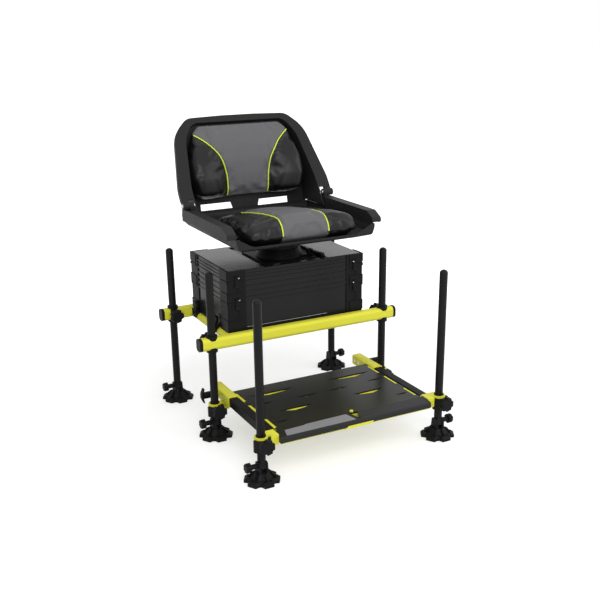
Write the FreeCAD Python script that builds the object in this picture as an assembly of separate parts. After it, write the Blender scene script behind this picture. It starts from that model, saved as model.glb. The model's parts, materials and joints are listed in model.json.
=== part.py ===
import FreeCAD, Part
import math
import os

# A folding fishing seat box, in millimetres.
# X runs to the sitter's right as the photograph shows it, Y to the rear and Z up.
# Every sub-part is drawn with the front legs' axis at Y = 0 and the floor at Z = 0.
# On export everything moves by the same amount, so that the origin is the middle of the footprint.

V = FreeCAD.Vector
ALONG_X = V(1, 0, 0)
ALONG_Y = V(0, 1, 0)
ALONG_Z = V(0, 0, 1)

# Fits
RUNNING = 0.05
AIR = 0.3

# Legs: four main ones and two in front that carry the footplate
LEG_R = 12.5
LEG_WALL = 2.0
LEG_X = 310.0
BACK_LEG_Y = 350.0
LEG_TOP = 542.0
PLATE_LEG_X = LEG_X - 2.0
PLATE_LEG_Y = -341.0
PLATE_LEG_TOP = 546.0
CAP_DOME = 8.0
SOCKET_Z = 70.0
COLLAR_H = 4.0

# Tilting feet
PIVOT_Z = 50.0
EYE_R = 13.0
EYE_BEVEL = 5.0
EYE_HALF = 8.0
CHEEK_T = 6.0
FOOT_R = 54.0
FOOT_EDGE = 14.0
FOOT_SLOPE = 6.0
FOOT_NOTCH = 11.0
FOOT_TOP_SHARE = 0.84
FOOT_HUB_R = 34.0
FOOT_HUB_TOP = 30.0
FOOT_RIB = 4.0
FOOT_LOBES = 6
LOBE_SHARE = 0.26
FOOT_BOLT_R = 4.0

# Main rails
RAIL_Z = 314.0
RAIL_H = 40.0
RAIL_D = 34.0
RAIL_ROUND = 12.0
RAIL_WALL = 2.5
RAIL_HALF = LEG_X + 35.0
END_CAP_T = 10.0

# Saddles, jaws and hand knobs of the leg clamps
SADDLE_R = 18.0
SADDLE_RISE = 7.0
SADDLE_DROP = 8.0
JAW_HALF = 14.0
JAW_REACH = 29.5
JAW_HALF_H = 16.0
KNOB_FACE = 34.0
KNOB_R = 24.0
KNOB_T = 17.0
KNOB_LOBES = 5
KNOB_NOTCH = 0.2
KNOB_WAIST = KNOB_FACE - JAW_REACH - AIR
STEM_R = 4.0
FOOT_KNOB_R = 15.0
FOOT_KNOB_T = 16.0
FOOT_KNOB_LOBES = 6
FOOT_KNOB_FACE = 36.0

# Slide arms of the footplate, clamped low on the front legs
ARM_OUT = LEG_X - 27.0
ARM_IN = ARM_OUT - 34.0
ARM_Z0 = 110.0
ARM_Z1 = 144.0
ARM_WALL = 2.5
ARM_FRONT = -50.0
ARM_BACK = 90.0
RING_R = 20.0
RING_BUSH_R = 15.0
ARM_RING_Z0 = 80.0
ARM_RING_Z1 = 114.0
WRAP_T = 6.0
WRAP_DROP = 5.0
WRAP_BACK = -4.0
BUSH_PROUD = 4.0
PINCH_Y = 42.0
PINCH_Z = 127.0
PINCH_BOSS = ARM_OUT + 7.0
PINCH_FACE = ARM_OUT + 50.0
WING_HUB_R = 11.0
WING_HALF = 24.0
WING_KNOB_T = 6.0

# Footplate
BEAM_FRONT = PLATE_LEG_Y + 25.0
BEAM_BACK = 80.0
BEAM_WALL = 2.4
DECK_HALF = ARM_IN - 9.0
DECK_FRONT = PLATE_LEG_Y + 15.0
DECK_TOP = 140.0
DECK_T = 5.0
FLANGE_DROP = 2.0
TRAY_T = 2.0
FOLD_DEPTH = 16.0
FOLD_PITCH = DECK_HALF * 0.625
FOLD_HALF = 14.0
LIP_HALF = ARM_IN + 9.0
LIP_FRONT = PLATE_LEG_Y - 31.0
LIP_LOW = 117.0
LIP_UNDER = 1.0
LIP_T = 4.0
TAB_HALF = 51.0
STOP_X = 4.0
STOP_R = 6.5
STOP_Y = DECK_FRONT + 9.0
CORNER_Z0 = 104.0
CORNER_Z1 = 141.0

# Deck slots: place as shares of the deck's half width and depth, size as shares of its half width
DECK_SLOTS = (
    (0.60, 0.19, 0.667, 0.08),
    (0.54, 0.63, 0.483, 0.083),
    (0.84, 0.405, 0.275, 0.038),
    (0.88, 0.84, 0.19, 0.038),
    (0.23, 0.43, 0.333, 0.042),
)

# Box of two trays and a lid, standing on the side rails
SIDE_RAIL_R = 13.0
SIDE_RAIL_Z = 314.0
SIDE_RAIL_WALL = 2.0
BOX_HALF = 243.5
SIDE_RAIL_X = BOX_HALF - 0.5
BOX_FRONT = 19.5
BOX_BACK = 330.5
BOX_Z = SIDE_RAIL_Z + SIDE_RAIL_R
LOWER_TRAY_H = 100.0
UPPER_TRAY_H = 71.0
LID_H = 29.0
TRAY_SEAM = BOX_Z + LOWER_TRAY_H
LID_SEAM = TRAY_SEAM + UPPER_TRAY_H
BOX_TOP = LID_SEAM + LID_H
PANEL_INSET = 3.0
PANEL_T = 3.0
PANEL_EDGE = 4.0
PANEL_DEEP = 4.0
PANEL_GAP = 0.2
RIBS = 4
RIB_H = 5.5
CORNER_W = 62.0
CORNER_ROUND = 4.0
LUG_PROUD = 2.0
LUG_W = 50.0
HINGE_Y = BOX_BACK + 3.5
HINGE_R = 4.0
HINGE_PIN_R = 2.0
HINGE_X = 125.0
HINGE_LEAF = 16.0
LATCH_X = BOX_HALF - 31.5
LATCH_W = 12.0
LATCH_RISE = 9.5
LATCH_DROP = 24.0
LATCH_T = 3.0

# Height of the lugs of each layer's corner mouldings, as shares of the layer's height
LOWER_LUGS = ((0.08, 0.40), (0.92, 0.99))
UPPER_LUGS = ((0.015, 0.39), (0.83, 0.945))
LID_LUGS = ((0.03, 1.0),)

# Clips that hold the box down on the side rails
CLIP_YS = (107.0, 279.0)
CLIP_W = 22.0
CLIP_PIVOT_X = BOX_HALF + 12.5
CLIP_PIVOT_Z = BOX_Z + 9.0
CLIP_PIN_R = 2.5
CLIP_TOP = CLIP_PIVOT_Z + 30.0

# Swivel between the lid and the seat
SWIVEL_Y = 150.0
WELL_HALF = 112.0
WELL_FRONT = 43.0
WELL_BACK = 313.0
WELL_Z = BOX_TOP - 6.0
SWIVEL_SPLIT = BOX_TOP + 26.0
SWIVEL_R = 66.0
SPIGOT_R = 12.0
SEAT_Z = SWIVEL_SPLIT + 38.0
LEVER_X = 88.0
LEVER_Y = 100.0
LEVER_PIN_R = 4.0

# Seat shell
SEAT_T = 4.0
SEAT_HALF = 268.0
ARMREST_IN = SEAT_HALF - 32.0
SEAT_FLAT = ARMREST_IN - 52.0
SEAT_FRONT = -58.0
SEAT_BACK = 400.0
LIP_RISE = 15.0
BOWL_RISE = 15.0
ARMREST_LOW = SEAT_Z + 45.0
ARMREST_Z = ARMREST_LOW + 39.0
ARMREST_FRONT = SEAT_FRONT + 6.0
ARMREST_END = SEAT_BACK - 80.0
NOSE_RUN = 38.0
SEAT_REAR_Z = ARMREST_LOW + 7.0

# Backrest, hinged between the seat's ears
FOLD_Y = SEAT_BACK - 113.0
FOLD_BOLT_R = 5.0
EAR_R = 12.0
FOLD_Z = ARMREST_Z + EAR_R + 0.5
EAR_SPLIT = SEAT_HALF - 14.4
RIM_SLOPE = 56.2
RIM_HALF = SEAT_HALF + 8.0
RIM_W = 47.0
RIM_TOP_W = 23.0
RIM_T = 5.0
RIM_SKIRT = 14.0
RIM_FOOT = 22.0
RIM_TOP = 317.0
RIM_TAPER = 0.87
WING_TAPER = 0.9
WING_T = 4.0
WING_CLEAR = 7.0
REST_LOW_Y = SEAT_BACK + 13.0
REST_TOP_Y = REST_LOW_Y + 61.0
REST_LOW_Z = SEAT_REAR_Z - 3.0
REST_TOP_Z = REST_LOW_Z + 311.0
REST_BEND_Z = REST_TOP_Z - 6.0
REST_DEPTH = 220.0
CUT_OUT_IN = 47.0
CUT_OUT_OUT = 165.0
CUT_OUT_H = 21.0

# Cushions
CUSHION_GAP = 38.0
SEAM_SHARE = 0.4
GROOVE = 4.0


def place(a, b, plane, at):
    """Point (a, b) of a drawing plane, which lies at `at` along the third axis."""
    if plane == "xy":
        return V(a, b, at)
    if plane == "xz":
        return V(a, at, b)
    return V(at, a, b)


def profile(corners, plane, at):
    """Face from corners (a, b, round), each rounded by an arc where its round is not 0."""
    count = len(corners)
    entries = []
    leaves = []
    middles = []
    for i in range(count):
        before = corners[i - 1]
        here = corners[i]
        after = corners[(i + 1) % count]
        corner = place(here[0], here[1], plane, at)
        back = place(before[0], before[1], plane, at).sub(corner)
        ahead = place(after[0], after[1], plane, at).sub(corner)
        back.normalize()
        ahead.normalize()
        half = back.getAngle(ahead) / 2
        reach = here[2] / math.tan(half)
        bisector = back.add(ahead)
        if here[2] > 0:
            bisector.normalize()
        depth = here[2] / math.sin(half) - here[2]
        entries.append(corner.add(back.multiply(reach)))
        leaves.append(corner.add(ahead.multiply(reach)))
        middles.append(corner.add(bisector.multiply(depth)))
    edges = []
    for i in range(count):
        if corners[i][2] > 0:
            edges.append(Part.Arc(entries[i], middles[i], leaves[i]).toShape())
        following = entries[(i + 1) % count]
        if following.distanceToPoint(leaves[i]) > 0.001:
            edges.append(Part.makeLine(leaves[i], following))
    return Part.Face(Part.Wire(edges))


def prism(corners, plane, start, end):
    """The rounded outline swept square to its plane from start to end."""
    return profile(corners, plane, start).extrude(place(0, 0, plane, end - start))


def rect(a0, a1, b0, b1, rounding=0.0):
    """Corners of a rectangle."""
    return [(a0, b0, rounding), (a1, b0, rounding), (a1, b1, rounding), (a0, b1, rounding)]


def block(x0, x1, y0, y1, z0, z1, rounding=0.0):
    """Upright block with rounded vertical edges."""
    return prism(rect(x0, x1, y0, y1, rounding), "xy", z0, z1)


def rod(centre, axis, radius, start, end):
    """Cylinder along an axis, from start to end as measured from the centre."""
    return Part.makeCylinder(radius, end - start, centre.add(V(axis).multiply(start)), axis)


def ring(centre, axis, radius, bore, start, end):
    """Cylinder with a bore right through it."""
    return rod(centre, axis, radius, start, end).cut(rod(centre, axis, bore, start - 1, end + 1))


def fused(shapes):
    """One shape from pieces that overlap or touch."""
    return shapes[0].multiFuse(shapes[1:]).removeSplitter()


def mirrored(shape):
    """The same shape on the other side of X = 0."""
    return shape.mirror(V(0, 0, 0), ALONG_X)


def pair(shape):
    """A shape and its mirror image, as separate solids."""
    return Part.makeCompound([shape, mirrored(shape)])


def symmetric(half):
    """Full outline from its right half, listed from the bottom middle to the top middle."""
    left = [(-a, b, r) for a, b, r in reversed(half)]
    return half + left


def main_leg_places():
    """Name and foot point of the four legs that stand through the rails."""
    return {
        "front_left": V(-LEG_X, 0, 0),
        "front_right": V(LEG_X, 0, 0),
        "back_left": V(-LEG_X, BACK_LEG_Y, 0),
        "back_right": V(LEG_X, BACK_LEG_Y, 0),
    }


def plate_leg_places():
    """Name and foot point of the two legs at the footplate's front corners."""
    return {
        "footplate_left": V(-PLATE_LEG_X, PLATE_LEG_Y, 0),
        "footplate_right": V(PLATE_LEG_X, PLATE_LEG_Y, 0),
    }


def outward(foot):
    """Unit direction from the middle of the box towards a leg's own side."""
    return V(math.copysign(1, foot.x), 0, 0)


def star(radius, lobes, depth):
    """Corners of a lobed outline, with a notch of the given depth between two lobes."""
    step = 2 * math.pi / lobes
    notch = radius - depth
    corners = []
    for lobe in range(lobes):
        for share, reach in ((-LOBE_SHARE, radius), (LOBE_SHARE, radius), (0.42, notch), (0.58, notch)):
            angle = (lobe + share) * step
            corners.append((reach * math.cos(angle), reach * math.sin(angle), 0))
    return corners


def bevelled(corners, low, high, slope, shrink):
    """Upright prism whose top narrows by a factor over the last stretch of its height."""
    top = [(a * shrink, b * shrink, r) for a, b, r in corners]
    wires = [profile(corners, "xy", high - slope).OuterWire, profile(top, "xy", high).OuterWire]
    return prism(corners, "xy", low, high - slope).fuse(Part.makeLoft(wires, True, True))


def leg(foot, top):
    """Tube, domed cap and socket with its eye, as three solids."""
    tube = ring(foot, ALONG_Z, LEG_R, LEG_R - LEG_WALL, SOCKET_Z, top - CAP_DOME)
    dome_r = (LEG_R ** 2 + CAP_DOME ** 2) / (2 * CAP_DOME)
    dome = Part.makeSphere(dome_r, foot.add(V(0, 0, top - dome_r)))
    dome = dome.common(rod(foot, ALONG_Z, LEG_R, top - CAP_DOME, top + 1))
    pivot = foot.add(V(0, 0, PIVOT_Z))
    slim = EYE_R - EYE_BEVEL
    eye = prism([(-EYE_R, -slim, 0), (-slim, -EYE_R, 0), (slim, -EYE_R, 0), (EYE_R, -slim, 0),
                 (slim, SOCKET_Z - PIVOT_Z, 0), (-slim, SOCKET_Z - PIVOT_Z, 0)], "yz", -EYE_HALF, EYE_HALF)
    eye.translate(pivot)
    collar = rod(foot, ALONG_Z, LEG_R, SOCKET_Z - COLLAR_H, SOCKET_Z)
    socket = fused([eye, collar]).cut(rod(pivot, ALONG_X, FOOT_BOLT_R + RUNNING, -LEG_R, LEG_R))
    return Part.makeCompound([tube, dome, socket])


def foot_disc(foot):
    """Lobed mud foot with a ribbed hub and two cheeks for the leg's eye."""
    pieces = [bevelled(star(FOOT_R, FOOT_LOBES, FOOT_NOTCH), 0, FOOT_EDGE, FOOT_SLOPE, FOOT_TOP_SHARE)]
    hub = star(FOOT_HUB_R, FOOT_LOBES, 2)
    pieces.append(bevelled(hub, FOOT_EDGE - 1, FOOT_HUB_TOP, FOOT_HUB_TOP - FOOT_EDGE, 0.62))
    reach = FOOT_TOP_SHARE * FOOT_R - 4
    for i in range(FOOT_LOBES):
        rib = prism([(0, FOOT_EDGE - 1, 0), (reach, FOOT_EDGE - 1, 0), (reach, FOOT_EDGE + 2, 0),
                     (0.75 * FOOT_HUB_R, FOOT_HUB_TOP, 0), (0, FOOT_HUB_TOP, 0)], "xz", -FOOT_RIB / 2,
                     FOOT_RIB / 2)
        rib.rotate(V(0, 0, 0), ALONG_Z, 360 * i / FOOT_LOBES)
        pieces.append(rib)
    disc = fused(pieces)
    disc.rotate(V(0, 0, 0), ALONG_Z, 180 / FOOT_LOBES)
    inner = EYE_HALF + AIR
    slim = EYE_R - EYE_BEVEL
    top = PIVOT_Z + EYE_R - 1
    cheek = prism([(-EYE_R - 5, FOOT_EDGE - 1, 0), (EYE_R + 5, FOOT_EDGE - 1, 0), (EYE_R, PIVOT_Z + slim, 0),
                   (slim, top, 0), (-slim, top, 0), (-EYE_R, PIVOT_Z + slim, 0)], "yz", inner,
                   inner + CHEEK_T)
    trough = [(-EYE_R - 6, PIVOT_Z, 0), (-EYE_R + 2, PIVOT_Z - EYE_R - 3, 0),
              (EYE_R - 2, PIVOT_Z - EYE_R - 3, 0),
              (EYE_R + 6, PIVOT_Z, 0), (EYE_R + 6, PIVOT_Z + 20, 0), (-EYE_R - 6, PIVOT_Z + 20, 0)]
    shape = fused([disc, cheek, mirrored(cheek)]).cut(prism(trough, "yz", -inner, inner))
    shape = shape.cut(rod(V(0, 0, PIVOT_Z), ALONG_X, FOOT_BOLT_R + RUNNING, -FOOT_R, FOOT_R))
    shape.translate(foot)
    return shape


def star_knob(radius, depth, stem_r, stem, lobes):
    """Lobed hand knob about Z: the stem below z = 0 and the grip above it."""
    outline = star(radius, lobes, KNOB_NOTCH * radius)
    grip = bevelled(outline, 0, depth, 0.3 * depth, 0.86)
    collar = prism(star(0.52 * radius, lobes, 0), "xy", -KNOB_WAIST, 0)
    return fused([grip, collar, rod(V(0, 0, 0), ALONG_Z, stem_r, -stem, 1)])


def aimed(shape, direction, at):
    """A shape drawn about Z, turned to a direction and moved to a point."""
    shape.Placement = FreeCAD.Placement(at, FreeCAD.Rotation(ALONG_Z, direction))
    return shape


def foot_knob(foot):
    """Hand knob and bolt that lock a foot's tilt, on the outer side of the leg."""
    reach = FOOT_KNOB_FACE + EYE_HALF + AIR + CHEEK_T
    knob = star_knob(FOOT_KNOB_R, FOOT_KNOB_T, FOOT_BOLT_R, reach, FOOT_KNOB_LOBES)
    sleeve = prism(star(0.52 * FOOT_KNOB_R, FOOT_KNOB_LOBES, 0), "xy",
                   EYE_HALF + AIR + CHEEK_T - FOOT_KNOB_FACE, 0)
    at = foot.add(V(0, 0, PIVOT_Z)).add(outward(foot).multiply(FOOT_KNOB_FACE))
    return aimed(fused([knob, sleeve]), outward(foot), at)


def clamp_knob(leg_axis, height, direction):
    """Star knob whose stem presses on a leg from the side that direction names."""
    at = V(leg_axis.x, leg_axis.y, height).add(V(direction).multiply(KNOB_FACE))
    return aimed(star_knob(KNOB_R, KNOB_T, STEM_R, KNOB_FACE - LEG_R - AIR, KNOB_LOBES), direction, at)


def rail_section(y, wall):
    """Rounded outline of a main rail, drawn in from the skin by wall."""
    half_d = RAIL_D / 2 - wall
    half_h = RAIL_H / 2 - wall
    return rect(y - half_d, y + half_d, RAIL_Z - half_h, RAIL_Z + half_h, RAIL_ROUND - wall)


def rail_inside(y):
    """Unit direction from a main rail towards the middle of the box."""
    return V(0, 1, 0) if y < BACK_LEG_Y / 2 else V(0, -1, 0)


def main_rail(y):
    """Hollow rail with bores for the legs and for the clamp screws."""
    shape = prism(rail_section(y, 0), "yz", -RAIL_HALF, RAIL_HALF)
    shape = shape.cut(prism(rail_section(y, RAIL_WALL), "yz", -RAIL_HALF - 1, RAIL_HALF + 1))
    for x in (-LEG_X, LEG_X):
        shape = shape.cut(rod(V(x, y, RAIL_Z), ALONG_Z, LEG_R + AIR, -RAIL_H, RAIL_H))
        shape = shape.cut(rod(V(x, y, RAIL_Z), rail_inside(y), STEM_R + RUNNING, 0, RAIL_D))
    return shape


def rail_end_caps():
    """Four plugs that close the main rails."""
    caps = []
    for y in (0, BACK_LEG_Y):
        cover = prism(rail_section(y, 0), "yz", RAIL_HALF, RAIL_HALF + END_CAP_T)
        plug = prism(rail_section(y, RAIL_WALL), "yz", RAIL_HALF - END_CAP_T, RAIL_HALF)
        cap = fused([cover, plug])
        caps += [cap, mirrored(cap)]
    return Part.makeCompound(caps)


def side_rails():
    """Two tubes between the main rails, coped to the rails' skin."""
    centre = V(SIDE_RAIL_X, 0, SIDE_RAIL_Z)
    tube = ring(centre, ALONG_Y, SIDE_RAIL_R, SIDE_RAIL_R - SIDE_RAIL_WALL, 0, BACK_LEG_Y)
    for y in (0, BACK_LEG_Y):
        tube = tube.cut(prism(rail_section(y, 0), "yz", 0, RAIL_HALF))
    return pair(tube)


def clamp_jaw(leg_axis, z, direction, start):
    """Block beside a rail's clamp that carries the knob's stem."""
    low, high = sorted((leg_axis.y + direction.y * start, leg_axis.y + direction.y * JAW_REACH))
    jaw = block(leg_axis.x - JAW_HALF, leg_axis.x + JAW_HALF, low, high, z - JAW_HALF_H, z + JAW_HALF_H)
    return jaw.cut(rod(V(leg_axis.x, leg_axis.y, z), direction, STEM_R + RUNNING, 0, KNOB_FACE + 1))


def leg_clamp_fittings():
    """Black saddles and jaws of the rail clamps, and the fittings of the slide arms' clamps."""
    parts = []
    for foot in main_leg_places().values():
        direction = rail_inside(foot.y)
        axis = V(foot.x, foot.y, RAIL_Z)
        edge = RAIL_H / 2
        top = ring(axis, ALONG_Z, SADDLE_R, LEG_R + RUNNING, edge - SADDLE_DROP, edge + SADDLE_RISE)
        rail = prism(rail_section(foot.y, 0), "yz", -RAIL_HALF, RAIL_HALF)
        top = top.cut(rail)
        low = top.mirror(axis, ALONG_Z)
        jaw = clamp_jaw(foot, RAIL_Z, direction, RAIL_D / 2 - 6).cut(rail)
        parts += [top, low, jaw]
    for foot in (V(-LEG_X, 0, 0), V(LEG_X, 0, 0)):
        parts += ring_fittings(foot, ARM_RING_Z0, ARM_RING_Z1)
    return Part.makeCompound(parts)


def ring_fittings(foot, low, high):
    """Bush of a clamp ring, and the black saddle that wraps its front and carries the knob."""
    forward = V(0, -1, 0)
    z = (low + high) / 2
    bush = ring(foot, ALONG_Z, RING_BUSH_R - RUNNING, LEG_R + RUNNING, low, high + BUSH_PROUD)
    stem = rod(V(foot.x, foot.y, z), forward, STEM_R + RUNNING, 0, KNOB_FACE + 1)
    wide = RING_R + WRAP_T
    outline = [(-wide, WRAP_BACK, 0), (-wide, -12, 0), (-0.6 * wide, -JAW_REACH, 0),
               (0.6 * wide, -JAW_REACH, 0),
               (wide, -12, 0), (wide, WRAP_BACK, 0)]
    saddle = prism(outline, "xy", low - WRAP_DROP, high - WRAP_T)
    saddle.translate(foot)
    saddle = saddle.cut(rod(foot, ALONG_Z, RING_R + RUNNING, 0, high + 9))
    return [bush.cut(stem), saddle.cut(stem)]


def slide_arms():
    """Two channels that guide the footplate's beams, each cast with a ring round a front leg."""
    middle = (ARM_IN + ARM_OUT) / 2
    skin = prism(rect(ARM_IN, ARM_OUT, ARM_Z0, ARM_Z1, 4), "xz", ARM_FRONT, ARM_BACK)
    hollow = rect(ARM_IN + ARM_WALL, ARM_OUT - ARM_WALL, ARM_Z0 + ARM_WALL, ARM_Z1 - ARM_WALL)
    skin = skin.cut(prism(hollow, "xz", ARM_FRONT - 1, ARM_BACK + 1))
    groove = block(ARM_IN + 5, ARM_IN + 8, ARM_FRONT + 12, ARM_BACK + 1, ARM_Z1 - ARM_WALL / 2, ARM_Z1 + 1)
    web = block(ARM_IN + 14, LEG_X, WRAP_BACK + AIR, RING_R - 4, ARM_RING_Z0 + 6, ARM_Z0 + ARM_WALL / 2)
    foot = V(LEG_X, 0, 0)
    lug = rod(V(0, PINCH_Y, PINCH_Z), ALONG_X, STEM_R + 6, ARM_OUT - 1, PINCH_BOSS)
    shape = fused([skin.cut(groove), web, rod(foot, ALONG_Z, RING_R, ARM_RING_Z0, ARM_RING_Z1), lug])
    z = (ARM_RING_Z0 + ARM_RING_Z1) / 2
    shape = shape.cut(rod(foot, ALONG_Z, RING_BUSH_R, ARM_RING_Z0 - 1, ARM_RING_Z1 + 1))
    shape = shape.cut(rod(V(foot.x, 0, z), V(0, -1, 0), STEM_R + RUNNING, 0, RING_R + 1))
    pinch = rod(V(0, PINCH_Y, PINCH_Z), ALONG_X, STEM_R + RUNNING, middle, PINCH_BOSS + 1)
    return pair(shape.cut(pinch))


def wing_knob(side):
    """Wing knob with a stem that presses on a beam through the arm's outer wall."""
    tip = ARM_OUT - ARM_WALL - AIR
    at = V(0, PINCH_Y, PINCH_Z)
    stem = rod(at, ALONG_X, STEM_R, tip, PINCH_FACE + 4)
    hub = prism([(PINCH_Y + a, PINCH_Z + b, 0) for a, b, r in star(WING_HUB_R, 4, 0)], "yz",
                PINCH_BOSS + AIR, PINCH_FACE)
    half, thick = WING_HALF, WING_KNOB_T
    paddle = [(PINCH_FACE - 5, PINCH_Z - half, 0), (PINCH_FACE - 1, PINCH_Z - half, 0),
              (PINCH_FACE + thick, PINCH_Z - half / 3, 0), (PINCH_FACE + thick, PINCH_Z + half / 3, 0),
              (PINCH_FACE - 1, PINCH_Z + half, 0), (PINCH_FACE - 5, PINCH_Z + half, 0),
              (PINCH_FACE - 1, PINCH_Z + half / 3, 0), (PINCH_FACE - 1, PINCH_Z - half / 3, 0)]
    knob = fused([stem, hub, prism(paddle, "xz", PINCH_Y - 7, PINCH_Y + 7)])
    return knob if side > 0 else mirrored(knob)


def footplate_beams():
    """Two square tubes that slide in the arms."""
    low = ARM_Z0 + ARM_WALL + AIR
    high = ARM_Z1 - ARM_WALL - AIR
    inner = ARM_IN + ARM_WALL + AIR
    outer = ARM_OUT - ARM_WALL - AIR
    beam = prism(rect(inner, outer, low, high, 2), "xz", BEAM_FRONT, BEAM_BACK)
    bore = rect(inner + BEAM_WALL, outer - BEAM_WALL, low + BEAM_WALL, high - BEAM_WALL)
    return pair(beam.cut(prism(bore, "xz", BEAM_FRONT - 1, BEAM_BACK + 1)))


def footplate_tray():
    """Folded lime tray under the deck: floor, side flanges, folds, pads, front strip and stop knob."""
    edge = ARM_IN - AIR
    floor = DECK_TOP - DECK_T
    step = DECK_HALF + AIR
    half = [(edge - TRAY_T, floor - TRAY_T, 0), (edge - TRAY_T, floor - FOLD_DEPTH, 0),
            (edge, floor - FOLD_DEPTH, 0),
            (edge, DECK_TOP - FLANGE_DROP, 0), (step, DECK_TOP - FLANGE_DROP, 0), (step, floor, 0)]
    shapes = [prism(symmetric(half), "xz", DECK_FRONT, 0)]
    for x in (-FOLD_PITCH, 0, FOLD_PITCH):
        fold = prism(rect(x - FOLD_HALF, x + FOLD_HALF, floor - FOLD_DEPTH, floor - TRAY_T / 2), "xz",
                     DECK_FRONT, 0)
        room = rect(x - FOLD_HALF + TRAY_T, x + FOLD_HALF - TRAY_T, floor - FOLD_DEPTH + TRAY_T,
                    floor - TRAY_T)
        shapes.append(fold.cut(prism(room, "xz", DECK_FRONT, 0)))
    pad = block(edge, ARM_IN + ARM_WALL + AIR, DECK_FRONT + 10, DECK_FRONT + 98, floor - 14, floor)
    under = LIP_LOW - LIP_UNDER - TRAY_T
    web = block(-LIP_HALF, LIP_HALF, DECK_FRONT, DECK_FRONT + TRAY_T, under, floor - TRAY_T / 2)
    strip = block(-LIP_HALF + 2, LIP_HALF - 2, LIP_FRONT + LIP_T, DECK_FRONT + TRAY_T, under, under + TRAY_T)
    tab = prism(tab_outline(AIR), "xz", LIP_FRONT + 0.5, LIP_FRONT + LIP_T + 1)
    knob = rod(V(STOP_X, STOP_Y, 0), ALONG_Z, STOP_R - 1, floor - 1, DECK_TOP + 3)
    return fused(shapes + [pad, mirrored(pad), web, strip, tab, knob])


def tab_outline(inset):
    """Slanted outline of the lime tab that shows in the lip's lower edge, seen from the front."""
    low = LIP_LOW - LIP_UNDER - TRAY_T
    return [(-TAB_HALF + inset, low, 0), (TAB_HALF - 8 - inset, low, 0),
            (TAB_HALF - inset, LIP_LOW + 6 - inset, 0),
            (-TAB_HALF + 14 + inset, LIP_LOW + 6 - inset, 0)]


def footplate_deck():
    """Black deck plate with tapered slots, and pads that lap the tray's flanges between three gaps."""
    deck = block(-DECK_HALF, DECK_HALF, DECK_FRONT, 0, DECK_TOP - DECK_T, DECK_TOP)
    edge = ARM_IN - AIR
    pads = []
    for y, length in ((DECK_FRONT + 8, 16), (DECK_FRONT * 0.67, 34), (DECK_FRONT * 0.33, 26), (-8, 16)):
        pad = prism([(DECK_HALF - 2, y - length / 2 - 6, 0), (edge, y - length / 2, 0),
                     (edge, y + length / 2, 0),
                     (DECK_HALF - 2, y + length / 2 + 6, 0)], "xy", DECK_TOP - FLANGE_DROP, DECK_TOP)
        pad = pad.common(block(0, edge, DECK_FRONT, 0, 0, 2 * DECK_TOP))
        pads += [pad, mirrored(pad)]
    cuts = [rod(V(STOP_X, STOP_Y, 0), ALONG_Z, STOP_R, DECK_TOP - DECK_T - 1, DECK_TOP + 1)]
    for share_x, share_y, length, width in DECK_SLOTS:
        slot = prism(slot_outline(share_x * DECK_HALF, share_y * DECK_FRONT, length * DECK_HALF,
                                  width * DECK_HALF),
                     "xy", DECK_TOP - DECK_T - 1, DECK_TOP + 1)
        cuts += [slot, mirrored(slot)]
    return fused([deck] + pads).cut(Part.makeCompound(cuts))


def slot_outline(x, y, length, width):
    """Outline of a slot that tapers to both ends, with its front edge bellied."""
    half = length / 2
    return [(x - half, y, 0), (x - half / 2, y - 0.7 * width, 0), (x + half / 6, y - width, 0),
            (x + half, y, 0), (x + half / 4, y + 1.5, 0)]


def lip_section(inset):
    """Side outline of the rolled front lip, drawn in from the skin by inset."""
    low = LIP_LOW - LIP_UNDER + inset
    return [(DECK_FRONT, low, 0), (LIP_FRONT + 4 + inset, low, 0), (LIP_FRONT + inset, LIP_LOW + 2, 0),
            (LIP_FRONT + 1 + inset, DECK_TOP - 8 - inset, 0),
            (LIP_FRONT + 5 + inset, DECK_TOP - 4 - inset, 0),
            (DECK_FRONT, DECK_TOP - inset, 0)]


def footplate_lip():
    """Rolled lip in front of the deck, open to the rear, with a notch at its middle and one for the tab."""
    skin = prism(lip_section(0), "yz", -LIP_HALF, LIP_HALF)
    hollow = prism(lip_section(LIP_T), "yz", -LIP_HALF + LIP_T, LIP_HALF - LIP_T)
    notch = [(STOP_X - 12, DECK_FRONT + 1, 0), (STOP_X + 2, LIP_FRONT + 10, 0),
             (STOP_X + 5, LIP_FRONT + 10, 0),
             (STOP_X + 16, DECK_FRONT + 1, 0)]
    skin = skin.cut(hollow)
    skin = skin.cut(prism(notch, "xy", DECK_TOP - 12, DECK_TOP + 1))
    skin = skin.cut(prism(tab_outline(0), "xz", LIP_FRONT - 1, LIP_FRONT + LIP_T + 1.5))
    for foot in plate_leg_places().values():
        skin = skin.cut(rod(foot, ALONG_Z, RING_R + RUNNING, 0, 2 * DECK_TOP))
    return skin


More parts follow.
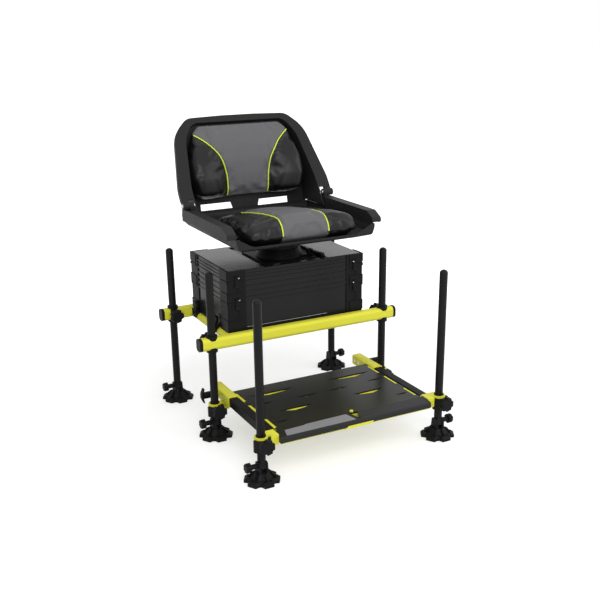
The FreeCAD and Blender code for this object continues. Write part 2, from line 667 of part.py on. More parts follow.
def footplate_corners():
    """Two castings that join beam, lip and front leg."""
    foot = V(PLATE_LEG_X, PLATE_LEG_Y, 0)
    gap = ARM_WALL + AIR + BEAM_WALL + RUNNING
    beside = PLATE_LEG_X - RING_R - WRAP_T - AIR
    behind = PLATE_LEG_Y + WRAP_BACK + AIR
    end = prism([(LIP_HALF, PLATE_LEG_Y - 14, 0), (beside, PLATE_LEG_Y - 14, 0), (beside, behind, 0),
                 (PLATE_LEG_X, behind, 0), (PLATE_LEG_X, BEAM_FRONT, 0), (LIP_HALF, BEAM_FRONT, 0)],
                "xy", CORNER_Z0 + 6, CORNER_Z1)
    plug = prism(rect(ARM_IN + gap, ARM_OUT - gap, ARM_Z0 + gap, ARM_Z1 - gap), "xz", BEAM_FRONT - 1,
                 BEAM_FRONT + 30)
    shape = fused([end, plug, rod(foot, ALONG_Z, RING_R, CORNER_Z0, CORNER_Z1)])
    shape = shape.cut(rod(foot, ALONG_Z, RING_BUSH_R, CORNER_Z0 - 1, CORNER_Z1 + 1))
    z = (CORNER_Z0 + CORNER_Z1) / 2
    return pair(shape.cut(rod(V(foot.x, foot.y, z), V(0, -1, 0), STEM_R + RUNNING, 0, RING_R + 1)))


def footplate_clamp_fittings():
    """Black bushes and saddles at the footplate's front legs."""
    parts = []
    for foot in plate_leg_places().values():
        parts += ring_fittings(foot, CORNER_Z0, CORNER_Z1)
    return Part.makeCompound(parts)


def box_shell(low, high, inset, rounding=0.0):
    """Upright block of the box's outline drawn in by inset."""
    return block(-BOX_HALF + inset, BOX_HALF - inset, BOX_FRONT + inset, BOX_BACK - inset, low, high,
                 rounding)


def knuckles(axis_z, low_half):
    """Hinge knuckles and their backs behind the box, below or above the seam."""
    parts = []
    face = BOX_BACK - PANEL_INSET
    if low_half:
        spans = ((-25, -10.2), (10.2, 25))
        z0, z1 = axis_z - HINGE_LEAF, axis_z
    else:
        spans = ((-10, 10),)
        z0, z1 = axis_z, axis_z + HINGE_LEAF
    for start, end in spans:
        for side in (-1, 1):
            x0, x1 = sorted((side * (HINGE_X + start), side * (HINGE_X + end)))
            back = block(x0, x1, face - 0.5, HINGE_Y, z0, z1)
            barrel = rod(V(0, HINGE_Y, axis_z), ALONG_X, HINGE_R, x0, x1)
            parts += [back, barrel]
    return parts


def hinge_pins(axis_z):
    """Pins that join the knuckles of one seam."""
    pins = []
    for x in (-HINGE_X, HINGE_X):
        pins.append(rod(V(x, HINGE_Y, axis_z), ALONG_X, HINGE_PIN_R, -25, 25))
    return pins


def hinge_bore(axis_z):
    """Bores for the pins in the moving knuckles, and room for the fixed ones."""
    return Part.makeCompound([rod(V(x, HINGE_Y, axis_z), ALONG_X, HINGE_PIN_R + RUNNING, -11, 11)
                              for x in (-HINGE_X, HINGE_X)])


def tray_walls(low, high):
    """Open-topped tray with a floor."""
    return box_shell(low, high, PANEL_INSET).cut(box_shell(low + PANEL_T, high + 1, PANEL_INSET + PANEL_T))


def band(z0, z1, proud):
    """Rib along each side of the box at a height, between the corner mouldings."""
    rib = box_shell(z0, z1, PANEL_INSET - proud).cut(box_shell(z0 - 1, z1 + 1, PANEL_INSET + 1))
    side = BOX_HALF - CORNER_W - AIR
    across = block(-side, side, 0, 2 * BOX_BACK, z0, z1)
    along = block(-BOX_HALF, BOX_HALF, BOX_FRONT + CORNER_W + AIR, BOX_BACK - CORNER_W - AIR, z0, z1)
    return rib.common(across.fuse(along))


def lower_tray():
    """Lower tray with two shallow bands and the fixed hinge halves."""
    parts = [tray_walls(BOX_Z, TRAY_SEAM), band(TRAY_SEAM - 10, TRAY_SEAM - 4, 1.5),
             band(BOX_Z, BOX_Z + 8, 1.5)]
    return fused(parts + knuckles(TRAY_SEAM, True) + hinge_pins(TRAY_SEAM))


def upper_tray():
    """Upper tray with its ribbed sides, hinged on the lower one."""
    parts = [tray_walls(TRAY_SEAM, LID_SEAM)]
    pitch = UPPER_TRAY_H / RIBS
    for i in range(RIBS):
        middle = TRAY_SEAM + (i + 0.5) * pitch
        parts.append(band(middle - RIB_H / 2, middle + RIB_H / 2, 2))
    moving = knuckles(TRAY_SEAM, False)
    fixed = knuckles(LID_SEAM, True) + hinge_pins(LID_SEAM)
    return fused(parts + moving + fixed).cut(hinge_bore(TRAY_SEAM))


def corner_mouldings(low, high, lugs):
    """Four black mouldings on the corners of one box layer, with proud lugs and a slot between lugs."""
    height = high - low
    skin = box_shell(low, high, 0, CORNER_ROUND)
    core = box_shell(low - 1, high + 1, PANEL_INSET)
    pieces = [skin.common(block(BOX_HALF - CORNER_W, BOX_HALF + 5, BOX_FRONT - 5, BOX_FRONT + CORNER_W, low,
                                high))]
    spans = [(low + start * height, low + end * height) for start, end in lugs]
    for start, end in spans:
        lug = block(-BOX_HALF, BOX_HALF + LUG_PROUD, BOX_FRONT - LUG_PROUD, BOX_BACK, start, end,
                    CORNER_ROUND)
        pieces.append(lug.common(block(BOX_HALF - LUG_W, BOX_HALF + 5, BOX_FRONT - 5, BOX_FRONT + LUG_W, low,
                                       high)))
    part = fused(pieces).cut(core)
    for (start, end), (start_above, end_above) in zip(spans, spans[1:]):
        margin = 0.05 * height
        part = part.cut(block(LATCH_X - LATCH_W / 2, LATCH_X + LATCH_W / 2, BOX_FRONT - 1,
                              BOX_FRONT + PANEL_INSET / 2,
                              end + margin, start_above - margin))
    rear = part.mirror(V(0, (BOX_FRONT + BOX_BACK) / 2, 0), ALONG_Y)
    return Part.makeCompound([part, mirrored(part), rear, mirrored(rear)])


def lid_frame():
    """Lid with a sunk well for the swivel, recesses for two gloss panels and a raised guard bar."""
    skin = box_shell(LID_SEAM, BOX_TOP - 2, PANEL_INSET)
    shape = skin.cut(box_shell(LID_SEAM - 1, WELL_Z - PANEL_T, PANEL_INSET + PANEL_T))
    shape = shape.cut(block(-WELL_HALF, WELL_HALF, WELL_FRONT, WELL_BACK, WELL_Z, BOX_TOP))
    inset = PANEL_INSET + PANEL_EDGE
    for side in (-1, 1):
        x0, x1 = sorted((side * (WELL_HALF + 3), side * (BOX_HALF - inset)))
        shape = shape.cut(block(x0, x1, BOX_FRONT + inset, BOX_BACK - inset, BOX_TOP - PANEL_DEEP, BOX_TOP))
    catch = block(-78, -56, BOX_FRONT + 8, BOX_FRONT + 20, BOX_TOP - 3, BOX_TOP + 3)
    bar = block(WELL_HALF - 6, WELL_HALF + 2.5, WELL_FRONT, SWIVEL_Y + 50, WELL_Z - 1, BOX_TOP + 6)
    rims = [band(LID_SEAM + 3, LID_SEAM + 6, 2), band(LID_SEAM + 11, LID_SEAM + 16, 2)]
    shape = fused([shape, catch, bar] + rims + knuckles(LID_SEAM, False))
    return shape.cut(hinge_bore(LID_SEAM))


def lid_panels():
    """Two gloss panels in the lid's recesses."""
    inset = PANEL_INSET + PANEL_EDGE + PANEL_GAP
    return pair(block(WELL_HALF + 3 + PANEL_GAP, BOX_HALF - inset, BOX_FRONT + inset, BOX_BACK - inset,
                      BOX_TOP - PANEL_DEEP, BOX_TOP))


def latches(seam):
    """Two slim latch bars on the front lugs, each hung on a barrel above a seam."""
    front = BOX_FRONT - LUG_PROUD
    pivot = seam + LATCH_RISE
    low = seam - LATCH_DROP
    x0 = LATCH_X - LATCH_W / 2
    x1 = LATCH_X + LATCH_W / 2
    bar = prism([(front, pivot, 0), (front - LATCH_T, pivot, 0), (front - LATCH_T, low + 6, 0),
                 (front - LATCH_T - 2.5, low, 0), (front, low + 3, 0)], "yz", x0, x1)
    return pair(fused([bar, rod(V(0, front - LATCH_T, pivot), ALONG_X, LATCH_T, x0, x1)]))


def swivel_base():
    """Base plate and bearing cone on the lid, with the spigot that the seat turns on."""
    at = V(0, SWIVEL_Y, 0)
    plate = block(-95, 95, SWIVEL_Y - 90, SWIVEL_Y + 90, WELL_Z, WELL_Z + 5)
    cone = Part.makeCone(SWIVEL_R + 14, SWIVEL_R, SWIVEL_SPLIT - WELL_Z - 5, at.add(V(0, 0, WELL_Z + 5)))
    spigot = rod(at, ALONG_Z, SPIGOT_R, SWIVEL_SPLIT - 1, SEAT_Z - 12)
    ear = block(0, LEVER_X + 14, LEVER_Y - 14, LEVER_Y + 14, WELL_Z + 3, WELL_Z + 9)
    shape = fused([plate, cone, spigot, ear])
    return shape.cut(rod(V(LEVER_X, LEVER_Y, WELL_Z), ALONG_Z, LEVER_PIN_R + RUNNING, 1, 40))


def swivel_lever():
    """Lever that locks the swivel, turning on an upright bolt."""
    at = V(LEVER_X, LEVER_Y, WELL_Z)
    pivot = rod(at, ALONG_Z, LEVER_PIN_R, 1.5, 24)
    hub = rod(at, ALONG_Z, 10, 9 + RUNNING, 22)
    arm = prism([(LEVER_X - 5, LEVER_Y, 0), (LEVER_X + 5, LEVER_Y, 0), (LEVER_X + 20, LEVER_Y - 62, 0),
                 (LEVER_X + 8, LEVER_Y - 64, 0)], "xy", WELL_Z + 13.5, WELL_Z + 20)
    return fused([pivot, hub, arm])


def swivel_plate():
    """Turning drum with four webs under a square plate that bolts to the seat."""
    at = V(0, SWIVEL_Y, 0)
    drum = rod(at, ALONG_Z, SWIVEL_R - 4, SWIVEL_SPLIT, SEAT_Z - 8)
    top = block(-105, 105, SWIVEL_Y - 90, SWIVEL_Y + 90, SEAT_Z - 8, SEAT_Z)
    shapes = [drum, top]
    for turn in (45, 135, 225, 315):
        web = prism([(0, SEAT_Z - 8, 0), (118, SEAT_Z - 8, 0), (SWIVEL_R - 5, SWIVEL_SPLIT + 8, 0),
                     (0, SWIVEL_SPLIT + 8, 0)], "xz", -3, 3)
        web.rotate(V(0, 0, 0), ALONG_Z, turn)
        web.translate(at)
        shapes.append(web)
    return fused(shapes).cut(rod(at, ALONG_Z, SPIGOT_R + RUNNING, 0, SEAT_Z - 10))


def seat_bowl(inset, top):
    """The bowl's filled form up to a height, drawn in from the skin by inset."""
    wall = ARMREST_IN + SEAT_T - inset
    floor = SEAT_Z + inset
    half = [(SEAT_FLAT, floor, 60 - inset), (wall - 8, floor + BOWL_RISE, 16 - inset),
            (wall, floor + BOWL_RISE + 24, 12),
            (wall, top, 0)]
    across = prism(symmetric(half), "xz", SEAT_FRONT + inset, SEAT_BACK - inset)
    front = SEAT_FRONT + inset
    back = SEAT_BACK - inset
    along = [(front, floor + LIP_RISE, 6), (front + 44, floor, 60), (back - 60, floor, 80),
             (back, floor + 31, 20),
             (back, top, 0), (front, top, 0)]
    return across.common(prism(along, "yz", -SEAT_HALF, SEAT_HALF))


def armrest():
    """One armrest: an upturned channel with a sloped nose and a slightly wavy lower edge."""
    low = ARMREST_LOW
    front = ARMREST_FRONT
    outline = [(front + 10, low + 3, 0), (front, low + 8, 0), (front + 3, ARMREST_Z - 18, 8),
               (front + NOSE_RUN, ARMREST_Z, 20), (ARMREST_END - 20, ARMREST_Z, 0),
               (ARMREST_END, ARMREST_Z - 12, 0),
               (ARMREST_END, low - 2, 0), (ARMREST_END - 60, low, 0), (ARMREST_END - 90, low + 4, 0),
               (front + 148, low + 3, 0), (front + 120, low - 2, 0), (front + 68, low, 0)]
    bar = prism(outline, "yz", ARMREST_IN, SEAT_HALF)
    hollow = [(front + SEAT_T, low - 5, 0), (front + SEAT_T, ARMREST_Z - 24, 0),
              (front + NOSE_RUN, ARMREST_Z - SEAT_T, 0), (ARMREST_END - 24, ARMREST_Z - SEAT_T, 0),
              (ARMREST_END - SEAT_T, ARMREST_Z - 18, 0), (ARMREST_END - SEAT_T, low - 5, 0)]
    return bar.cut(prism(hollow, "yz", ARMREST_IN + SEAT_T, SEAT_HALF - SEAT_T))


def seat_shell():
    """Thin moulded bowl with a low front lip, two armrests and two hinge ears."""
    shape = seat_bowl(0, ARMREST_Z).cut(seat_bowl(SEAT_T, ARMREST_Z + 10))
    inner = ARMREST_IN - 2
    mouth = symmetric([(SEAT_FLAT, SEAT_Z + LIP_RISE + 8, 50), (inner, ARMREST_LOW + 6, 20),
                       (inner, ARMREST_Z + 25, 0)])
    shape = shape.cut(prism(mouth, "xz", SEAT_FRONT - 5, SEAT_FRONT + SEAT_T + 20))
    nose = [(SEAT_FRONT - 5, ARMREST_LOW + 4, 0), (ARMREST_FRONT + 8, ARMREST_LOW + 6, 0),
            (ARMREST_FRONT + NOSE_RUN, ARMREST_Z + 1, 0), (SEAT_FRONT - 5, ARMREST_Z + 5, 0)]
    shape = shape.cut(prism(nose, "yz", -SEAT_HALF, SEAT_HALF))
    over_rear = [(ARMREST_END - 68, ARMREST_Z + 25, 0), (ARMREST_END - 68, ARMREST_Z, 0),
                 (ARMREST_END - 40, SEAT_REAR_Z, 12), (SEAT_BACK + 5, SEAT_REAR_Z, 0),
                 (SEAT_BACK + 5, ARMREST_Z + 25, 0)]
    shape = shape.cut(prism(over_rear, "yz", -SEAT_HALF - 1, SEAT_HALF + 1))
    ear = rod(V(0, FOLD_Y, FOLD_Z), ALONG_X, EAR_R, ARMREST_IN + SEAT_T, EAR_SPLIT)
    web = block(ARMREST_IN + SEAT_T, EAR_SPLIT, FOLD_Y - EAR_R, FOLD_Y + EAR_R, ARMREST_Z - 1, FOLD_Z)
    shape = fused([shape, armrest(), mirrored(armrest()), ear, web, mirrored(ear), mirrored(web)])
    bore = rod(V(0, FOLD_Y, FOLD_Z), ALONG_X, FOLD_BOLT_R + RUNNING, -SEAT_HALF, SEAT_HALF)
    return shape.cut(bore)


def backrest_hinge_bolts():
    """Two bolts that the backrest turns on."""
    at = V(0, FOLD_Y, FOLD_Z)
    inner = ARMREST_IN + SEAT_T
    bolt = rod(at, ALONG_X, FOLD_BOLT_R, inner - 1, RIM_HALF + 1)
    head = rod(at, ALONG_X, FOLD_BOLT_R + 3, RIM_HALF, RIM_HALF + 4)
    nut = rod(at, ALONG_X, FOLD_BOLT_R + 3, inner - 4, inner)
    return pair(fused([bolt, head, nut]))


def rim_outline(inset):
    """Outer edge of the backrest's rim in its own plane, measured up the slope from the hinge."""
    side = RIM_HALF - inset
    top = RIM_TOP - inset
    shoulder = side * RIM_TAPER
    half = [(side, RIM_FOOT, 0), (side, 60, 180), (shoulder, RIM_TOP - 59, 120), (shoulder - 55, top - 4, 50),
            (60, top, 400)]
    return half + [(-a, b, r) for a, b, r in reversed(half)]


def wing_outline(outset):
    """Inner edge of the rim, where the side wings start."""
    side = RIM_HALF - RIM_W + outset
    top = RIM_TOP - RIM_TOP_W + outset
    shoulder = side * WING_TAPER
    half = [(side, -120, 0), (side + 1, 60, 300), (shoulder, RIM_TOP - 81, 140), (shoulder - 36, top, 44)]
    return half + [(-a, b, r) for a, b, r in reversed(half)]


def on_rim(shape):
    """Turns a shape from the rim's own plane to its place on the hinge axis."""
    shape.Placement = FreeCAD.Placement(V(0, FOLD_Y, FOLD_Z), FreeCAD.Rotation(ALONG_X, RIM_SLOPE))
    return shape


def rest_region(inset, low):
    """Side outline of the wings and the back panel, drawn in from their rear and cut off at low."""
    back_low = REST_LOW_Y - inset
    back_top = REST_TOP_Y - inset
    front = FOLD_Y - 60
    return [(front, low + WING_CLEAR, 0), (SEAT_BACK + 2, low + WING_CLEAR, 0), (SEAT_BACK + 2, low, 0),
            (back_low, low, 0), (back_top, REST_BEND_Z, 0), (back_top - 60, REST_TOP_Z + 60, 0),
            (front, REST_TOP_Z, 0)]


def rest_cavity(inset):
    """Room between the wings and in front of the back panel, drawn in by inset."""
    cavity = on_rim(prism(wing_outline(-inset), "xy", -REST_DEPTH, 1))
    return cavity.common(prism(rest_region(WING_T + inset, REST_LOW_Z - 20), "yz", -RIM_HALF, RIM_HALF))


def backrest_shell():
    """Rim with a rolled skirt, side wings and a recessed back panel with two cut-outs."""
    rim = on_rim(prism(rim_outline(0), "xy", -RIM_SKIRT, 0))
    rim = rim.cut(on_rim(prism(rim_outline(WING_T), "xy", -RIM_SKIRT - 1, -RIM_T)))
    tub = on_rim(prism(wing_outline(WING_T), "xy", -REST_DEPTH, 0))
    tub = tub.common(prism(rest_region(0, REST_LOW_Z), "yz", -RIM_HALF, RIM_HALF))
    shape = rim.fuse(tub).cut(rest_cavity(0))
    low = REST_LOW_Z - 5
    top = REST_LOW_Z + CUT_OUT_H
    cut_out = prism([(CUT_OUT_IN, low, 0), (CUT_OUT_OUT, low, 0), (CUT_OUT_OUT, top, 0),
                     (CUT_OUT_IN + 8, top, 0)],
                    "xz", REST_LOW_Y - 40, REST_LOW_Y + 10)
    shape = shape.cut(cut_out).cut(mirrored(cut_out))
    inner = EAR_SPLIT + AIR
    ear = rod(V(0, FOLD_Y, FOLD_Z), ALONG_X, EAR_R, inner, RIM_HALF)
    arm = on_rim(block(inner, RIM_HALF, 0, RIM_FOOT + 22, -EAR_R, 0))
    shape = fused([shape, ear, arm, mirrored(ear), mirrored(arm)])
    return shape.cut(rod(V(0, FOLD_Y, FOLD_Z), ALONG_X, FOLD_BOLT_R + RUNNING, -RIM_HALF - 1, RIM_HALF + 1))


def cushion_section(plane, at, half, back, edge, crest, seam, middle):
    """Closed section of a cushion: flat back, drawn-in sides, bolsters, a channel each side and a crown."""
    rise = crest - back
    groove = GROOVE
    sign = math.copysign(1, rise)
    seam_at = SEAM_SHARE * half
    right = [(0.8 * half, back), (half, back + 0.3 * rise), (0.985 * half, back + 0.62 * rise),
             (edge * half, crest),
             ((edge * half + seam_at) / 2, (crest + seam) / 2 + 0.06 * rise), (seam_at + groove, seam),
             (seam_at, seam - groove * sign), (seam_at - groove, seam)]
    near, far = [[place(side * a, b, plane, at) for a, b in right] for side in (1, -1)]
    edges = [Part.makeLine(far[0], near[0])]
    for points in (near, far):
        edges += [Part.makeLine(points[0], points[1]), Part.Arc(points[1], points[2], points[3]).toShape(),
                  Part.Arc(points[3], points[4], points[5]).toShape(),
                  Part.makeLine(points[5], points[6]), Part.makeLine(points[6], points[7])]
    edges.append(Part.Arc(near[7], place(0, middle, plane, at), far[7]).toShape())
    return Part.Wire(Part.__sortEdges__(edges))


def seat_cushion():
    """Padded seat, highest behind the knees and falling to the rear, with crowned middle and lower sides."""
    base = SEAT_Z + SEAT_T + 0.5
    half = ARMREST_IN - CUSHION_GAP
    front = SEAT_FRONT + 10
    stations = ((front, 0.80, 36, 40, 46, 48), (front + 10, 0.92, 22, 60, 70, 73),
                (front + 36, 0.98, 4, 76, 89, 93),
                (front + 120, 1.0, 0, 76, 86, 90), (front + 240, 0.97, 0, 66, 70, 74),
                (front + 322, 0.90, 0, 52, 56, 59), (front + 344, 0.80, 14, 40, 46, 48))
    wires = [cushion_section("xz", y, half * wide, base + low, 0.84, base + crest, base + seam, base + middle)
             for y, wide, low, crest, seam, middle in stations]
    return Part.makeLoft(wires, True, True).common(seat_bowl(SEAT_T + 0.5, ARMREST_Z + 20))


def back_cushion():
    """Padded back, with bolsters that come forward at the sides."""
    lean = (REST_TOP_Y - REST_LOW_Y) / (REST_BEND_Z - REST_LOW_Z)
    half = RIM_HALF - RIM_W - WING_T
    low = REST_LOW_Z + 46
    stations = ((0, 0.80, 34, 26, 24), (22, 0.90, 80, 44, 40), (72, 0.95, 88, 54, 50),
                (122, 0.93, 78, 58, 55),
                (172, 0.86, 62, 54, 52), (212, 0.78, 44, 44, 42), (234, 0.68, 26, 26, 25))
    wires = []
    for rise, wide, sides, channel, middle in stations:
        z = low + rise
        back = REST_LOW_Y - WING_T + lean * (z - REST_LOW_Z) - 0.5
        wires.append(cushion_section("xy", z, half * wide, back, 0.86, back - sides, back - channel,
                                     back - middle))
    return Part.makeLoft(wires, True, True).common(rest_cavity(0.5))


def clip_brackets():
    """Four saddles on the side rails, each with cheeks and a pin for its clip."""
    parts = []
    rail = rod(V(SIDE_RAIL_X, 0, SIDE_RAIL_Z), ALONG_Y, SIDE_RAIL_R + RUNNING, 0, BACK_LEG_Y)
    for y in CLIP_YS:
        half = CLIP_W / 2 + 5
        body = prism([(SIDE_RAIL_X, SIDE_RAIL_Z, 0), (CLIP_PIVOT_X + 5, SIDE_RAIL_Z, 0),
                      (CLIP_PIVOT_X + 5, CLIP_PIVOT_Z + 4, 0), (CLIP_PIVOT_X - 5, CLIP_PIVOT_Z + 4, 0),
                      (CLIP_PIVOT_X - 9, CLIP_PIVOT_Z - 2, 0), (CLIP_PIVOT_X - 9, BOX_Z - AIR, 0),
                      (SIDE_RAIL_X, BOX_Z - AIR, 0)], "xz", y - half, y + half)
        room = block(SIDE_RAIL_X - 1, CLIP_PIVOT_X + 6, y - CLIP_W / 2 - AIR, y + CLIP_W / 2 + AIR,
                     SIDE_RAIL_Z + SIDE_RAIL_R + 1, CLIP_PIVOT_Z + 10)
        pin = rod(V(CLIP_PIVOT_X, y, CLIP_PIVOT_Z), ALONG_Y, CLIP_PIN_R, -half, half)
        bracket = fused([body.cut(room).cut(rail), pin])
        parts += [bracket, mirrored(bracket)]
    return Part.makeCompound(parts)


def box_clips(side):
    """Two clips on one side that lean on the box and turn on their brackets' pins."""
    parts = []
    face = BOX_HALF + LUG_PROUD + AIR
    for y in CLIP_YS:
        hub = rod(V(CLIP_PIVOT_X, y, CLIP_PIVOT_Z), ALONG_Y, 5, -CLIP_W / 2, CLIP_W / 2)
        plate = prism([(CLIP_PIVOT_X - 4, CLIP_PIVOT_Z, 0), (CLIP_PIVOT_X + 4, CLIP_PIVOT_Z, 0),
                       (face + 8, CLIP_TOP - 8, 4), (face + 14, CLIP_TOP, 2), (face, CLIP_TOP, 3),
                       (face, CLIP_PIVOT_Z + 12, 6)], "xz", y - CLIP_W / 2, y + CLIP_W / 2)
        clip = fused([hub, plate]).cut(rod(V(CLIP_PIVOT_X, y, CLIP_PIVOT_Z), ALONG_Y, CLIP_PIN_R + RUNNING,
                                           -CLIP_W, CLIP_W))
        parts.append(clip if side > 0 else mirrored(clip))
    return Part.makeCompound(parts)


def build():
    """Every node of the seat box by name, in the drawing's own place."""
    nodes = {
        "front_rail": main_rail(0),
        "back_rail": main_rail(BACK_LEG_Y),
        "rail_end_caps": rail_end_caps(),
        "side_rails": side_rails(),
        "leg_clamp_fittings": leg_clamp_fittings(),
        "slide_arms": slide_arms(),
        "clip_brackets": clip_brackets(),
        "left_box_clips": box_clips(-1),
        "right_box_clips": box_clips(1),
        "lower_tray": lower_tray(),
        "lower_tray_corners": corner_mouldings(BOX_Z, TRAY_SEAM, LOWER_LUGS),
        "upper_tray": upper_tray(),
        "upper_tray_corners": corner_mouldings(TRAY_SEAM, LID_SEAM, UPPER_LUGS),
        "tray_latches": latches(TRAY_SEAM),
        "lid_frame": lid_frame(),
        "lid_corners": corner_mouldings(LID_SEAM, BOX_TOP, LID_LUGS),
        "lid_panels": lid_panels(),
        "lid_latches": latches(LID_SEAM),
        "swivel_base": swivel_base(),
        "swivel_lever": swivel_lever(),
        "swivel_plate": swivel_plate(),
        "seat_shell": seat_shell(),
        "seat_cushion": seat_cushion(),
        "backrest_hinge_bolts": backrest_hinge_bolts(),
        "backrest_shell": backrest_shell(),
        "back_cushion": back_cushion(),
        "footplate_beams": footplate_beams(),
        "footplate_tray": footplate_tray(),
        "footplate_deck": footplate_deck(),
        "footplate_lip": footplate_lip(),
        "footplate_corners": footplate_corners(),
        "footplate_clamp_fittings": footplate_clamp_fittings(),
        "left_wing_knob": wing_knob(-1),
        "right_wing_knob": wing_knob(1),
    }
    forward = V(0, -1, 0)
    for name, foot in main_leg_places().items():
        nodes[name + "_leg"] = leg(foot, LEG_TOP)
        nodes[name + "_foot"] = foot_disc(foot)
        nodes[name + "_foot_knob"] = foot_knob(foot)
        nodes[name + "_rail_knob"] = clamp_knob(foot, RAIL_Z, rail_inside(foot.y))
    for name in ("front_left", "front_right"):
        foot = main_leg_places()[name]
        nodes[name + "_arm_knob"] = clamp_knob(foot, (ARM_RING_Z0 + ARM_RING_Z1) / 2, forward)
    for name, foot in plate_leg_places().items():
        nodes[name + "_leg"] = leg(foot, PLATE_LEG_TOP)
        nodes[name + "_foot"] = foot_disc(foot)
        nodes[name + "_foot_knob"] = foot_knob(foot)
        nodes[name + "_corner_knob"] = clamp_knob(foot, (CORNER_Z0 + CORNER_Z1) / 2, forward)
    return nodes


def middle_y():
    """Half way between the front feet's edge and the rear edge of the backrest's rim."""
    slope = math.radians(RIM_SLOPE)
    rear = FOLD_Y + RIM_TOP * math.cos(slope) + RIM_SKIRT * math.sin(slope)
    front = PLATE_LEG_Y - FOOT_R * math.cos(LOBE_SHARE * 2 * math.pi / FOOT_LOBES)
    return (front + rear) / 2


def export():
    """Write each node, moved so that the origin is the middle of the footprint."""
    os.makedirs("parts", exist_ok=True)
    for name, shape in build().items():
        shape.translate(V(0, -middle_y(), 0))
        shape.exportStep("parts/" + name + ".step")


if __name__ == "__main__":
    export()
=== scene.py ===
"""Looks of the fishing seat box: finishes, padded covers, piping, stitches and the studio."""
import json
import logging
import math
from collections.abc import Callable, Sequence
from dataclasses import dataclass, field
from enum import Enum
from typing import ClassVar

import bmesh
import bpy
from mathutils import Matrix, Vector
from mathutils.bvhtree import BVHTree


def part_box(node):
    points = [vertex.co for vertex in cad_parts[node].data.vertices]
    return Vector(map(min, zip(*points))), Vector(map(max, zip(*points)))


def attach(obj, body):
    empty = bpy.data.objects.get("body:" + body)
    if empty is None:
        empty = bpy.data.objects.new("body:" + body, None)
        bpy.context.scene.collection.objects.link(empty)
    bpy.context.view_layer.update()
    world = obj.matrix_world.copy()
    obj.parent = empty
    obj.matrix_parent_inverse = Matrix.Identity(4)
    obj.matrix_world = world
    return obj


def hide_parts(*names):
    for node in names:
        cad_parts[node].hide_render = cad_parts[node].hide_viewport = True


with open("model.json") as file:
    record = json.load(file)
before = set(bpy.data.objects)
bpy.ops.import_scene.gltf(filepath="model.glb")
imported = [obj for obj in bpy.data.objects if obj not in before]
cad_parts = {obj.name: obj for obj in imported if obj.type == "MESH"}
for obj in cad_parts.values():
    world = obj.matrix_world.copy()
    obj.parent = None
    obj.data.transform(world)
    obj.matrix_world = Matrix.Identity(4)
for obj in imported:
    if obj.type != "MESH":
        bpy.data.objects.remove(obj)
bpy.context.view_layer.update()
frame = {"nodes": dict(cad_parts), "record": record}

LOG = logging.getLogger("seat_box")


class Surface(Enum):
    """How the fine relief of a finish is made."""

    POWDER = "powder coat"
    MOULDED = "moulded plastic"
    GRAIN = "grained cover"
    BRUSHED = "brushed metal"
    SMOOTH = "smooth skin"


